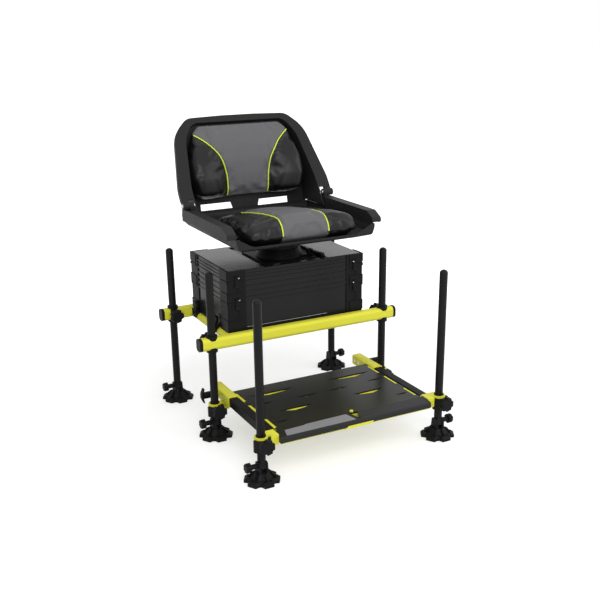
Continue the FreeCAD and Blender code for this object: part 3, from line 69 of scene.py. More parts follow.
@dataclass(frozen=True)
class Finish:
    """One procedural finish, with sizes in metres.

    ROUGH_LOW and ROUGH_HIGH are the shares of the roughness between which it varies, and
    BRUSH_STRETCH draws the relief of brushed metal out along X.
    """

    name: str
    colour: tuple[float, float, float]
    rough: float
    surface: Surface = Surface.MOULDED
    metal: float = 0.0
    coat: float = 0.0
    relief: float = 0.05
    grain: float = 0.0008
    wear: float = 0.06
    specular: float = 0.5
    COAT_ROUGH: ClassVar[float] = 0.12
    CLOUD_SCALE: ClassVar[float] = 14.0
    CLOUD_DETAIL: ClassVar[float] = 4.0
    ROUGH_LEAST: ClassVar[float] = 0.02
    ROUGH_LOW: ClassVar[float] = 0.88
    ROUGH_HIGH: ClassVar[float] = 1.14
    RELIEF_DETAIL: ClassVar[float] = 3.0
    RELIEF_DEPTH: ClassVar[float] = 0.0004
    BRUSH_STRETCH: ClassVar[float] = 0.04

    def build(self) -> bpy.types.Material:
        """Make the material.

        Returns:
            A new material whose nodes read Object coordinates.
        """
        material = bpy.data.materials.new(self.name)
        material.use_nodes = True
        tree = material.node_tree
        shader = tree.nodes["Principled BSDF"]
        shader.inputs["Metallic"].default_value = self.metal
        shader.inputs["Coat Weight"].default_value = self.coat
        shader.inputs["Coat Roughness"].default_value = self.COAT_ROUGH
        shader.inputs["Specular IOR Level"].default_value = self.specular
        coords = tree.nodes.new("ShaderNodeTexCoord")
        self._tone(tree, coords, shader)
        self._relief(tree, coords, shader)
        return material

    def _tone(self, tree: bpy.types.NodeTree, coords: bpy.types.Node, shader: bpy.types.Node) -> None:
        """Vary colour and roughness a little over the piece.

        Args:
            tree: The material's nodes.
            coords: The texture coordinate node.
            shader: The principled shader.
        """
        cloud = tree.nodes.new("ShaderNodeTexNoise")
        cloud.inputs["Scale"].default_value = self.CLOUD_SCALE
        cloud.inputs["Detail"].default_value = self.CLOUD_DETAIL
        tree.links.new(coords.outputs["Object"], cloud.inputs["Vector"])
        tint = tree.nodes.new("ShaderNodeMix")
        tint.data_type = "RGBA"
        tint.inputs[6].default_value = (*[c * (1 - self.wear) for c in self.colour], 1)
        tint.inputs[7].default_value = (*[min(1.0, c * (1 + self.wear)) for c in self.colour], 1)
        tree.links.new(cloud.outputs["Fac"], tint.inputs[0])
        tree.links.new(tint.outputs[2], shader.inputs["Base Color"])
        spread = tree.nodes.new("ShaderNodeMapRange")
        spread.inputs["To Min"].default_value = max(self.ROUGH_LEAST, self.rough * self.ROUGH_LOW)
        spread.inputs["To Max"].default_value = min(1.0, self.rough * self.ROUGH_HIGH)
        tree.links.new(cloud.outputs["Fac"], spread.inputs["Value"])
        tree.links.new(spread.outputs["Result"], shader.inputs["Roughness"])

    def _relief(self, tree: bpy.types.NodeTree, coords: bpy.types.Node, shader: bpy.types.Node) -> None:
        """Add the fine bump of the surface type.

        Args:
            tree: The material's nodes.
            coords: The texture coordinate node.
            shader: The principled shader.
        """
        if self.surface is Surface.GRAIN:
            texture = tree.nodes.new("ShaderNodeTexVoronoi")
            output = texture.outputs["Distance"]
        else:
            texture = tree.nodes.new("ShaderNodeTexNoise")
            texture.inputs["Detail"].default_value = self.RELIEF_DETAIL
            output = texture.outputs["Fac"]
        texture.inputs["Scale"].default_value = 1.0
        stretch = tree.nodes.new("ShaderNodeMapping")
        step = 1 / self.grain
        along = step * self.BRUSH_STRETCH if self.surface is Surface.BRUSHED else step
        stretch.inputs["Scale"].default_value = (along, step, step)
        tree.links.new(coords.outputs["Object"], stretch.inputs["Vector"])
        tree.links.new(stretch.outputs["Vector"], texture.inputs["Vector"])
        bump = tree.nodes.new("ShaderNodeBump")
        bump.inputs["Strength"].default_value = self.relief
        bump.inputs["Distance"].default_value = self.RELIEF_DEPTH
        tree.links.new(output, bump.inputs["Height"])
        tree.links.new(bump.outputs["Normal"], shader.inputs["Normal"])


LIME = Finish("lime_powder_coat", (0.69, 0.672, 0.05), 0.42, Surface.POWDER, relief=0.06, specular=0.2)
MOULDING = Finish("black_moulding", (0.007, 0.007, 0.0074), 0.5, relief=0.1, specular=0.09)
TUBE = Finish("black_tube", (0.008, 0.0076, 0.008), 0.4, Surface.POWDER, relief=0.06, specular=0.11)
TRAY = Finish("black_tray", (0.009, 0.009, 0.0098), 0.3, Surface.POWDER, relief=0.05, specular=0.14)
LID_GLOSS = Finish("lid_gloss", (0.026, 0.027, 0.029), 0.26, Surface.SMOOTH, relief=0.02, specular=0.4)
DECK = Finish("deck_gloss", (0.009, 0.009, 0.0092), 0.3, Surface.SMOOTH, relief=0.03, specular=0.17)
CASTING = Finish("black_casting", (0.006, 0.0058, 0.006), 0.45, Surface.POWDER, relief=0.08, specular=0.08)
LIP = Finish("lip_black", (0.015, 0.015, 0.0153), 0.36, Surface.POWDER, relief=0.05, specular=0.17)
SHELL = Finish("shell_plastic", (0.0145, 0.0147, 0.0154), 0.5, relief=0.14, grain=0.0006, specular=0.13)
STEEL = Finish("bright_steel", (0.5, 0.5, 0.51), 0.3, Surface.BRUSHED, metal=1.0, relief=0.05)
PLATE = Finish("grey_plate", (0.2, 0.2, 0.205), 0.4, Surface.SMOOTH, relief=0.03, specular=0.4)
GREY_COVER = Finish("grey_cover", (0.105, 0.105, 0.112), 0.5, Surface.GRAIN, relief=0.22, grain=0.0011,
                    specular=0.2)
BLACK_COVER = Finish("black_cover", (0.004, 0.004, 0.0043), 0.36, Surface.GRAIN, relief=0.1, grain=0.0013,
                     specular=0.26)
PIPING = Finish("lime_piping", (0.66, 0.78, 0.06), 0.5, Surface.MOULDED, relief=0.1, specular=0.2)
THREAD = Finish("black_thread", (0.012, 0.012, 0.012), 0.7, Surface.MOULDED, relief=0.2, specular=0.1)

SLOT_FINISH = {
    "lime_paint": LIME,
    "black_moulding": MOULDING,
    "tray_black": TRAY,
    "gloss_panel": DECK,
    "bright_steel": STEEL,
    "black_casting": CASTING,
    "shell_plastic": SHELL,
    "seat_cover": BLACK_COVER,
    "leg_tube": TUBE,
}
NODE_FINISH = {"lid_panels": LID_GLOSS, "footplate_lip": LIP}


class Library:
    """Builds each finish once."""

    def __init__(self) -> None:
        """Start with no finish made."""
        self._made: dict[str, bpy.types.Material] = {}

    def get(self, finish: Finish) -> bpy.types.Material:
        """Material of a finish.

        Args:
            finish: The finish wanted.

        Returns:
            The one material made for it.
        """
        if finish.name not in self._made:
            self._made[finish.name] = finish.build()
        return self._made[finish.name]


def mesh_object(name: str, mesh: bpy.types.Mesh) -> bpy.types.Object:
    """Link a mesh as an object at the origin.

    Args:
        name: Name of the piece.
        mesh: Its mesh, in the row frame.

    Returns:
        The linked object.
    """
    obj = bpy.data.objects.new(name, mesh)
    bpy.context.scene.collection.objects.link(obj)
    return obj


def polyline(name: str, runs: Sequence[Sequence[Vector]]) -> bpy.types.Object:
    """Object of plain edges through points, one chain per run.

    Args:
        name: Name of the piece.
        runs: Chains of points in the row frame.

    Returns:
        An object with vertices and edges only.
    """
    points: list[Vector] = []
    edges: list[tuple[int, int]] = []
    for run in runs:
        start = len(points)
        points += list(run)
        edges += [(i, i + 1) for i in range(start, start + len(run) - 1)]
    mesh = bpy.data.meshes.new(name)
    mesh.from_pydata(points, edges, [])
    return mesh_object(name, mesh)


class NodePattern:
    """A geometry node group with named inputs that is baked to a plain mesh."""

    def __init__(self, name: str) -> None:
        """Start a group that takes and gives geometry.

        Args:
            name: Name of the group.
        """
        self.group = bpy.data.node_groups.new(name, "GeometryNodeTree")
        self.group.interface.new_socket("Geometry", in_out="INPUT", socket_type="NodeSocketGeometry")
        self.group.interface.new_socket("Geometry", in_out="OUTPUT", socket_type="NodeSocketGeometry")
        self.inputs = self.group.nodes.new("NodeGroupInput")
        self.outputs = self.group.nodes.new("NodeGroupOutput")

    def number(self, name: str, value: float) -> bpy.types.NodeSocket:
        """Add a named number input.

        Args:
            name: Label of the input.
            value: Its default.

        Returns:
            The socket inside the group.
        """
        item = self.group.interface.new_socket(name, in_out="INPUT", socket_type="NodeSocketFloat")
        item.default_value = value
        return self.inputs.outputs[name]

    def node(self, kind: str, **values: object) -> bpy.types.Node:
        """Add a node.

        Args:
            kind: Its type.
            values: Values of its properties or sockets; a socket links.

        Returns:
            The node.
        """
        made = self.group.nodes.new(kind)
        for key, value in values.items():
            label = key.replace("_", " ")
            if isinstance(value, bpy.types.NodeSocket):
                self.group.links.new(value, made.inputs[label])
            elif label in made.inputs:
                made.inputs[label].default_value = value
            else:
                setattr(made, key, value)
        return made

    def close(self, geometry: bpy.types.NodeSocket, material: bpy.types.Material) -> None:
        """End the group with realised instances and a material.

        Args:
            geometry: What the pattern made.
            material: Its material.
        """
        real = self.node("GeometryNodeRealizeInstances", Geometry=geometry)
        paint = self.node("GeometryNodeSetMaterial", Geometry=real.outputs[0], Material=material)
        self.group.links.new(paint.outputs[0], self.outputs.inputs[0])

    def bake(self, source: bpy.types.Object, values: dict[str, float]) -> bpy.types.Object:
        """Run the pattern on a source and keep the result as the source's plain mesh.

        Args:
            source: The object that the pattern reads.
            values: Input values by label.

        Returns:
            The source, now with the finished mesh and no modifier.
        """
        modifier = source.modifiers.new("pattern", "NODES")
        modifier.node_group = self.group
        for item in self.group.interface.items_tree:
            if item.item_type == "SOCKET" and item.in_out == "INPUT" and item.name in values:
                modifier[item.identifier] = values[item.name]
        graph = bpy.context.evaluated_depsgraph_get()
        mesh = bpy.data.meshes.new_from_object(source.evaluated_get(graph))
        source.modifiers.remove(modifier)
        old = source.data
        source.data = mesh
        bpy.data.meshes.remove(old)
        return source


PIPING_SIDES = 10
THREAD_SIDES = 6
HEAD_SIDES = 24
SOCKET_SIDES = 6
SOCKET_WIDTH = 0.5
SOCKET_LIFT = 0.6


def piping_pattern(material: bpy.types.Material) -> NodePattern:
    """Round cord along every chain of edges.

    Args:
        material: Finish of the cord.

    Returns:
        The pattern, with input Radius.
    """
    pattern = NodePattern("piping")
    radius = pattern.number("Radius", 0.002)
    curve = pattern.node("GeometryNodeMeshToCurve", Mesh=pattern.inputs.outputs[0])
    ring = pattern.node("GeometryNodeCurvePrimitiveCircle", Resolution=PIPING_SIDES, Radius=radius)
    tube = pattern.node("GeometryNodeCurveToMesh", Curve=curve.outputs[0], Profile_Curve=ring.outputs[0])
    tube.inputs["Fill Caps"].default_value = True
    smooth = pattern.node("GeometryNodeSetShadeSmooth", Geometry=tube.outputs[0])
    pattern.close(smooth.outputs[0], material)
    return pattern


def stitch_pattern(material: bpy.types.Material) -> NodePattern:
    """Short stitches at even spacing along every chain of edges.

    Args:
        material: Finish of the thread.

    Returns:
        The pattern, with inputs Spacing, Length and Radius.
    """
    pattern = NodePattern("stitches")
    spacing = pattern.number("Spacing", 0.006)
    length = pattern.number("Length", 0.004)
    radius = pattern.number("Radius", 0.0005)
    curve = pattern.node("GeometryNodeMeshToCurve", Mesh=pattern.inputs.outputs[0])
    even = pattern.node("GeometryNodeResampleCurve", Curve=curve.outputs[0], mode="LENGTH", Length=spacing)
    points = pattern.node("GeometryNodeCurveToPoints", Curve=even.outputs[0], mode="EVALUATED")
    thread = pattern.node("GeometryNodeMeshCylinder", Vertices=THREAD_SIDES, Radius=radius, Depth=length)
    placed = pattern.node("GeometryNodeInstanceOnPoints", Points=points.outputs["Points"],
                          Instance=thread.outputs["Mesh"], Rotation=points.outputs["Rotation"])
    pattern.close(placed.outputs[0], material)
    return pattern


def bolt_pattern(material: bpy.types.Material) -> NodePattern:
    """Socket-head bolts on the vertices of the source, turned from facing up.

    Args:
        material: Finish of the bolts.

    Returns:
        The pattern, with inputs Radius, Height, Turn X and Turn Y.
    """
    pattern = NodePattern("bolts")
    radius = pattern.number("Radius", 0.005)
    height = pattern.number("Height", 0.003)
    turn_x = pattern.number("Turn X", 0.0)
    turn_y = pattern.number("Turn Y", 0.0)
    head = pattern.node("GeometryNodeMeshCylinder", Vertices=HEAD_SIDES, Radius=radius, Depth=height)
    width = pattern.node("ShaderNodeMath", operation="MULTIPLY")
    pattern.group.links.new(radius, width.inputs[0])
    width.inputs[1].default_value = SOCKET_WIDTH
    socket = pattern.node("GeometryNodeMeshCylinder", Vertices=SOCKET_SIDES, Radius=width.outputs[0],
                          Depth=height)
    lift = pattern.node("ShaderNodeMath", operation="MULTIPLY")
    pattern.group.links.new(height, lift.inputs[0])
    lift.inputs[1].default_value = SOCKET_LIFT
    shift = pattern.node("ShaderNodeCombineXYZ", Z=lift.outputs[0])
    lifted = pattern.node("GeometryNodeTransform", Geometry=socket.outputs["Mesh"],
                          Translation=shift.outputs[0])
    dish = pattern.node("GeometryNodeMeshBoolean", operation="DIFFERENCE")
    pattern.group.links.new(head.outputs["Mesh"], dish.inputs[0])
    pattern.group.links.new(lifted.outputs[0], dish.inputs[1])
    angle = pattern.node("ShaderNodeCombineXYZ", X=turn_x, Y=turn_y)
    placed = pattern.node("GeometryNodeInstanceOnPoints", Points=pattern.inputs.outputs[0],
                          Instance=dish.outputs["Mesh"], Rotation=angle.outputs[0])
    pattern.close(placed.outputs[0], material)
    return pattern


@dataclass
class Cushion:
    """A padded cover puffed by a short cloth simulation from its CAD solid.

    Lengths are metres: `most` limits how far the simulation moves a point, `sink` is the depth
    of a seam, SEAM_HOLD how far from a seam the cover is held and SEAM_WIDTH how far it sinks.
    """

    node: str
    body: str
    seam_x: Callable[[Vector], float]
    is_front: Callable[[Vector], bool]
    fold: Callable[[Vector], float]
    voxel: float = 0.005
    pressure: float = 3.0
    most: float = 0.004
    sink: float = 0.003
    SOFT_FACTOR: ClassVar[float] = 0.6
    SOFT_ROUNDS: ClassVar[int] = 3
    EVEN_FACTOR: ClassVar[float] = 0.5
    EVEN_ROUNDS: ClassVar[int] = 2
    SEAM_HOLD: ClassVar[float] = 0.007
    SEAM_WIDTH: ClassVar[float] = 0.006
    FRAMES: ClassVar[int] = 20

    def build(self, library: Library) -> bpy.types.Object:
        """Make the cover in place of the CAD cushion.

        Args:
            library: The finishes.

        Returns:
            The finished cover, with a grey middle and black sides.
        """
        cad = frame["nodes"][self.node]
        cover = mesh_object(self.node + "_cover", cad.data.copy())
        cover.data.materials.clear()
        self._remesh(cover)
        self._inflate(cover)
        self._finish(cover, library)
        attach(cover, self.body)
        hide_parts(self.node)
        return cover

    def _remesh(self, cover: bpy.types.Object) -> None:
        """Even out the mesh with voxels.

        Args:
            cover: The cover.
        """
        even = cover.modifiers.new("even", "REMESH")
        even.mode = "VOXEL"
        even.voxel_size = self.voxel
        soft = cover.modifiers.new("soft", "SMOOTH")
        soft.factor = self.SOFT_FACTOR
        soft.iterations = self.SOFT_ROUNDS
        self._apply(cover)

    def _apply(self, cover: bpy.types.Object) -> None:
        """Replace the mesh by its evaluated form and drop the modifiers.

        Args:
            cover: The cover.
        """
        graph = bpy.context.evaluated_depsgraph_get()
        mesh = bpy.data.meshes.new_from_object(cover.evaluated_get(graph))
        cover.modifiers.clear()
        cover.data = mesh

    def _held(self, point: Vector) -> float:
        """How firmly the seams and the flat back hold a point, from 0 to 1.

        Args:
            point: A vertex in the row frame.

        Returns:
            Pin weight.
        """
        if not self.is_front(point):
            return 1.0
        gap = abs(abs(point.x) - self.seam_x(point))
        return max(0.0, 1.0 - gap / self.SEAM_HOLD)

    def _inflate(self, cover: bpy.types.Object) -> None:
        """Puff the cover with air pressure, seams and back held.

        Args:
            cover: The cover, evenly meshed.
        """
        before = [v.co.copy() for v in cover.data.vertices]
        pins = cover.vertex_groups.new(name="pins")
        for vertex in cover.data.vertices:
            weight = self._held(vertex.co)
            if weight > 0:
                pins.add([vertex.index], weight, "REPLACE")
        cloth = cover.modifiers.new("cloth", "CLOTH")
        settings = cloth.settings
        settings.quality = 6
        settings.mass = 0.3
        settings.tension_stiffness = 22
        settings.compression_stiffness = 22
        settings.shear_stiffness = 8
        settings.bending_stiffness = 4.0
        settings.shrink_min = -0.05
        settings.use_pressure = True
        settings.uniform_pressure_force = self.pressure
        settings.effector_weights.gravity = 0
        settings.vertex_group_mass = "pins"
        cloth.point_cache.frame_start = 1
        cloth.point_cache.frame_end = self.FRAMES
        scene = bpy.context.scene
        for number in range(1, self.FRAMES + 1):
            scene.frame_set(number)
            cover.evaluated_get(bpy.context.evaluated_depsgraph_get())
        self._apply(cover)
        scene.frame_set(1)
        for vertex, start in zip(cover.data.vertices, before):
            step = vertex.co - start
            if step.length > self.most:
                vertex.co = start + step * (self.most / step.length)

    def _finish(self, cover: bpy.types.Object, library: Library) -> None:
        """Sink the seams, smooth the mesh and colour its panels.

        Args:
            cover: The cover.
            library: The finishes.
        """
        mesh = cover.data
        shape = bmesh.new()
        shape.from_mesh(mesh)
        for _ in range(self.EVEN_ROUNDS):
            bmesh.ops.smooth_vert(shape, verts=shape.verts, factor=self.EVEN_FACTOR, use_axis_x=True,
                                  use_axis_y=True, use_axis_z=True)
        shape.normal_update()
        for vertex in shape.verts:
            if self.is_front(vertex.co):
                gap = abs(abs(vertex.co.x) - self.seam_x(vertex.co))
                depth = self.sink * math.exp(-((gap / self.SEAM_WIDTH) ** 2)) + self.fold(vertex.co)
                vertex.co -= vertex.normal * depth
        shape.to_mesh(mesh)
        shape.free()
        finer = cover.modifiers.new("finer", "SUBSURF")
        finer.levels = 1
        finer.render_levels = 1
        self._apply(cover)
        mesh = cover.data
        mesh.materials.append(library.get(GREY_COVER))
        mesh.materials.append(library.get(BLACK_COVER))
        for face in mesh.polygons:
            middle = face.center
            face.material_index = 0 if abs(middle.x) < self.seam_x(middle) else 1
            face.use_smooth = True


def surface_point(tree: BVHTree, start: Vector, aim: Vector) -> Vector | None:
    """First point of a surface along a ray.

    Args:
        tree: The surface.
        start: Where the ray starts.
        aim: Its direction.

    Returns:
        The point, or None where the ray misses.
    """
    hit, _normal, _index, _distance = tree.ray_cast(start, aim.normalized())
    return hit


def tree_of(obj: bpy.types.Object) -> BVHTree:
    """Search tree of an object's mesh.

    Args:
        obj: An object at the origin.

    Returns:
        Its tree.
    """
    mesh = obj.data
    return BVHTree.FromPolygons([v.co for v in mesh.vertices], [p.vertices for p in mesh.polygons])


def smoothed(points: list[Vector], rounds: int = 3) -> list[Vector]:
    """Chain of points with its small kinks taken out.

    Args:
        points: The chain.
        rounds: How often it is averaged.

    Returns:
        The smoother chain with the same ends.
    """
    for _ in range(rounds):
        inner = [(a + 2 * b + c) / 4 for a, b, c in zip(points, points[1:], points[2:])]
        points = [points[0], *inner, points[-1]]
    return points


@dataclass
class SeatAssembly:
    """Padded seat and back, their piping and their stitches.

    Depths, widths, WAIST, FLARE, PROUD, RAY_START and the cord's and stitches' values are metres.
    SEAM_FROM and SEAM_TO are degrees round the inside of the seat. Each fold is its distance from
    the middle and its width. KNEE_WAVES and KNEE_DRIFT_WAVES are radians a metre. The other
    values are shares of the cushion's box.
    """

    library: Library
    made: list[bpy.types.Object] = field(default_factory=list)
    SEAT_GREY: ClassVar[float] = 0.4
    SEAT_TOP: ClassVar[float] = 0.3
    LEAN: ClassVar[float] = 0.205
    BACK_SKIN: ClassVar[float] = 0.16
    WAIST: ClassVar[float] = 0.076
    FLARE: ClassVar[float] = 0.094
    FLARE_TOP: ClassVar[float] = 0.88
    FLARE_POWER: ClassVar[float] = 3.6
    FOLD_DEPTH: ClassVar[float] = 0.0026
    FOLD_SPREAD: ClassVar[float] = 0.8
    FOLD_TOP: ClassVar[float] = 0.5
    FOLD_START: ClassVar[float] = 0.06
    FOLDS: ClassVar[tuple[tuple[float, float], ...]] = (
        (-0.046, 0.005),
        (-0.018, 0.006),
        (0.006, 0.004),
        (0.034, 0.006),
        (-0.108, 0.008),
        (0.104, 0.007),
    )
    KNEE_DEPTH: ClassVar[float] = 0.0016
    KNEE_REACH: ClassVar[float] = 0.35
    KNEE_WAVES: ClassVar[float] = 520
    KNEE_DRIFT: ClassVar[float] = 3
    KNEE_DRIFT_WAVES: ClassVar[float] = 150
    LOBE_WIDTH: ClassVar[float] = 0.03
    FALL: ClassVar[float] = 0.009
    FALL_START: ClassVar[float] = 0.1
    FALL_REACH: ClassVar[float] = 0.3
    STEPS: ClassVar[int] = 60
    SEAT_CENTRE_Y: ClassVar[float] = 0.45
    SEAT_CENTRE_Z: ClassVar[float] = 0.35
    SEAM_FROM: ClassVar[float] = 8
    SEAM_TO: ClassVar[float] = 178
    RISE_FROM: ClassVar[float] = 0.03
    RISE_SPAN: ClassVar[float] = 0.9
    RAY_START: ClassVar[float] = 0.2
    PROUD: ClassVar[float] = 0.0013
    CORD_R: ClassVar[float] = 0.0021
    STITCH_SIDE: ClassVar[float] = 0.006
    STITCH_SPACING: ClassVar[float] = 0.0065

    def __post_init__(self) -> None:
        """Read the cushions' boxes and place the seat's seams."""
        self.seat_low, self.seat_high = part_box("seat_cushion")
        self.back_low, self.back_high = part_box("back_cushion")
        self.seat_seam = self.SEAT_GREY * (self.seat_high.x - self.seat_low.x) / 2

    def build(self) -> list[bpy.types.Object]:
        """Make every piece of the seat's upholstery.

        Returns:
            The pieces.
        """
        seat = Cushion("seat_cushion", "seat", self.seat_line, self._on_seat_top, self.seat_fold)
        back = Cushion("back_cushion", "backrest", self.back_line, self._on_back_front, self.back_fold)
        covers = [seat.build(self.library), back.build(self.library)]
        self.made += covers
        self._piping(covers[0], self._seat_runs(covers[0]), "seat_piping", "seat")
        self._piping(covers[1], self._back_runs(covers[1]), "back_piping", "backrest")
        return self.made

    def _on_seat_top(self, point: Vector) -> bool:
        """Whether a point lies on the padded top of the seat.

        Args:
            point: A point of the cover.

        Returns:
            True above the seat's flat base.
        """
        return point.z > self.seat_low.z + self.SEAT_TOP * (self.seat_high.z - self.seat_low.z)

    def _on_back_front(self, point: Vector) -> bool:
        """Whether a point lies on the padded front of the leaning back.

        Args:
            point: A point of the cover.

        Returns:
            True before the back's flat rear skin.
        """
        depth = self.back_high.y - self.back_low.y
        rear = self.back_high.y - self.LEAN * self.back_high.z
        return point.y < rear + self.LEAN * point.z - self.BACK_SKIN * depth

    def seat_line(self, point: Vector) -> float:
        """Distance of the seat's seam from the middle.

        Args:
            point: Not used; the seat's seam keeps one distance from the middle.

        Returns:
            The seam's X there.
        """
        return self.seat_seam

    def back_line(self, point: Vector) -> float:
        """Distance of the back's seam from the middle, flaring to the top corners.

        Args:
            point: A point of the cover.

        Returns:
            The seam's X there.
        """
        share = (point.z - self.back_low.z) / (self.back_high.z - self.back_low.z)
        return self.WAIST + self.FLARE * (max(0.0, share) / self.FLARE_TOP) ** self.FLARE_POWER

    def back_fold(self, point: Vector) -> float:
        """Depth of the soft upright folds low on the back's grey middle and beside its seams.

        Args:
            point: A point of the cover.

        Returns:
            How far the cover sinks there, in metres.
        """
        rise = (point.z - self.back_low.z) / (self.back_high.z - self.back_low.z)
        fade = max(0.0, 1 - rise / self.FOLD_TOP) * min(1.0, rise / self.FOLD_START)
        depth = 0.0
        for place, width in self.FOLDS:
            middle = place * (1 + self.FOLD_SPREAD * rise)
            depth += self.FOLD_DEPTH * math.exp(-(((point.x - middle) / width) ** 2))
        return depth * fade

    def seat_fold(self, point: Vector) -> float:
        """Depth of the short folds over the knee and of the side lobes' fall towards the rear.

        Args:
            point: A point of the cover.

        Returns:
            How far the cover sinks there, in metres.
        """
        away = abs(point.x) - self.seat_seam
        if away < 0:
            return 0.0
        along = (point.y - self.seat_low.y) / (self.seat_high.y - self.seat_low.y)
        fade = math.exp(-away / self.LOBE_WIDTH) * max(0.0, 1 - along / self.KNEE_REACH)
        drift = self.KNEE_DRIFT * math.sin(point.y * self.KNEE_DRIFT_WAVES)
        wave = 0.5 + 0.5 * math.sin(point.y * self.KNEE_WAVES + drift)
        rearward = min(1.0, max(0.0, along - self.FALL_START) / self.FALL_REACH)
        fall = self.FALL * min(1.0, away / self.LOBE_WIDTH) * rearward
        return self.KNEE_DEPTH * fade * wave + fall

    def _seat_runs(self, cover: bpy.types.Object) -> list[list[Vector]]:
        """Seams of the seat from its rear over the knee to the front.

        Args:
            cover: The finished cover.

        Returns:
            One chain per side.
        """
        tree = tree_of(cover)
        centre_y = self.seat_low.y + self.SEAT_CENTRE_Y * (self.seat_high.y - self.seat_low.y)
        centre_z = self.seat_low.z + self.SEAT_CENTRE_Z * (self.seat_high.z - self.seat_low.z)
        runs = []
        for side in (-1, 1):
            start = Vector((side * self.seat_seam, centre_y, centre_z))
            run = []
            for step in range(self.STEPS + 1):
                angle = math.radians(self.SEAM_FROM + step * (self.SEAM_TO - self.SEAM_FROM) / self.STEPS)
                hit = surface_point(tree, start, Vector((0, math.cos(angle), math.sin(angle))))
                if hit is not None:
                    run.append(hit)
            runs.append(smoothed(run))
        return runs

    def _back_runs(self, cover: bpy.types.Object) -> list[list[Vector]]:
        """Seams of the back from its bottom to its top corners.

        Args:
            cover: The finished cover.

        Returns:
            One chain per side.
        """
        tree = tree_of(cover)
        span = self.back_high.z - self.back_low.z
        runs = []
        for side in (-1, 1):
            run = []
            for step in range(self.STEPS + 1):
                z = self.back_low.z + span * (self.RISE_FROM + self.RISE_SPAN * step / self.STEPS)
                x = side * self.back_line(Vector((0, 0, z)))
                start = Vector((x, self.back_low.y - self.RAY_START, z))
                hit = surface_point(tree, start, Vector((0, 1, 0)))
                if hit is not None:
                    run.append(hit)
            runs.append(smoothed(run))
        return runs

    def _piping(self, cover: bpy.types.Object, runs: list[list[Vector]], name: str, body: str) -> None:
        """Lay piping in the seams and a row of stitches beside each.

        Args:
            cover: The cover.
            runs: The seams.
            name: Name of the piping.
            body: Body that carries it.
        """
        tree = tree_of(cover)
        proud = [[p + tree.find_nearest(p)[1] * self.PROUD for p in run] for run in runs]
        pattern = piping_pattern(self.library.get(PIPING))
        cord = pattern.bake(polyline(name, proud), {"Radius": self.CORD_R})
        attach(cord, body)
        beside = []
        for run in runs:
            side = math.copysign(self.STITCH_SIDE, run[0].x)
            chain = []
            for point in run:
                near, _normal, _index, _distance = tree.find_nearest(point - Vector((side, 0, 0)))
                chain.append(near)
            beside.append(smoothed(chain, 1))
        stitches = stitch_pattern(self.library.get(THREAD))
        row = stitches.bake(polyline(name + "_stitches", beside), {"Spacing": self.STITCH_SPACING})
        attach(row, body)
        self.made += [cord, row]


@dataclass
class Fasteners:
    """Bright bolts and pins that the CAD leaves to the finish.

    Lengths are metres. A setback is measured from the arms' rear ends.
    """

    library: Library
    ARM_BOLT_SETBACKS: ClassVar[tuple[float, ...]] = (0.014, 0.04)
    ARM_BOLT_R: ClassVar[float] = 0.0055
    ARM_BOLT_H: ClassVar[float] = 0.0003
    PIN_INSET: ClassVar[float] = 0.012
    PIN_DROP: ClassVar[float] = 0.006
    PIN_R: ClassVar[float] = 0.0024
    PIN_H: ClassVar[float] = 0.001
    RAY_START: ClassVar[float] = 0.1

    def build(self) -> list[bpy.types.Object]:
        """Make the arms' flush bolts and the latches' pins.

        Returns:
            The pieces.
        """
        made = []
        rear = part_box("slide_arms")[1].y
        beam_low, beam_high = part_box("footplate_beams")
        arms = tree_of(frame["nodes"]["slide_arms"])
        height = (beam_low.z + beam_high.z) / 2
        for side, name in ((-1, "arm_bolts_left"), (1, "arm_bolts_right")):
            points = []
            for setback in self.ARM_BOLT_SETBACKS:
                start = Vector((0, rear - setback, height))
                points.append(surface_point(arms, start, Vector((side, 0, 0))))
            turn = -side * math.pi / 2
            made.append(self._bolts(name, "frame", points, self.ARM_BOLT_R, self.ARM_BOLT_H, turn))
        for node, body in (("lid_latches", "lid"), ("tray_latches", "upper_tray")):
            low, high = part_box(node)
            tree = tree_of(frame["nodes"][node])
            points = []
            for side in (-1, 1):
                x = side * (high.x - self.PIN_INSET)
                start = Vector((x, low.y - self.RAY_START, high.z - self.PIN_DROP))
                points.append(surface_point(tree, start, Vector((0, 1, 0))))
            made.append(self._bolts(node + "_pins", body, points, self.PIN_R, self.PIN_H, None))
        return made

    def _bolts(self, name: str, body: str, points: list[Vector | None], radius: float, height: float,
               turn: float | None) -> bpy.types.Object:
        """One row of bolts or pins.

        Args:
            name: Name of the piece.
            body: Body that carries it.
            points: Where the heads sit; a missed point is left out.
            radius: Radius of a head.
            height: Height of a head, half of it proud.
            turn: Turn about Y of heads that face across, or None for heads that face the front.

        Returns:
            The piece.
        """
        source = polyline(name, [[p] for p in points if p is not None])
        values = {"Radius": radius, "Height": height}
        if turn is None:
            values["Turn X"] = math.pi / 2
        else:
            values["Turn Y"] = turn
        row = bolt_pattern(self.library.get(STEEL)).bake(source, values)
        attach(row, body)
        return row


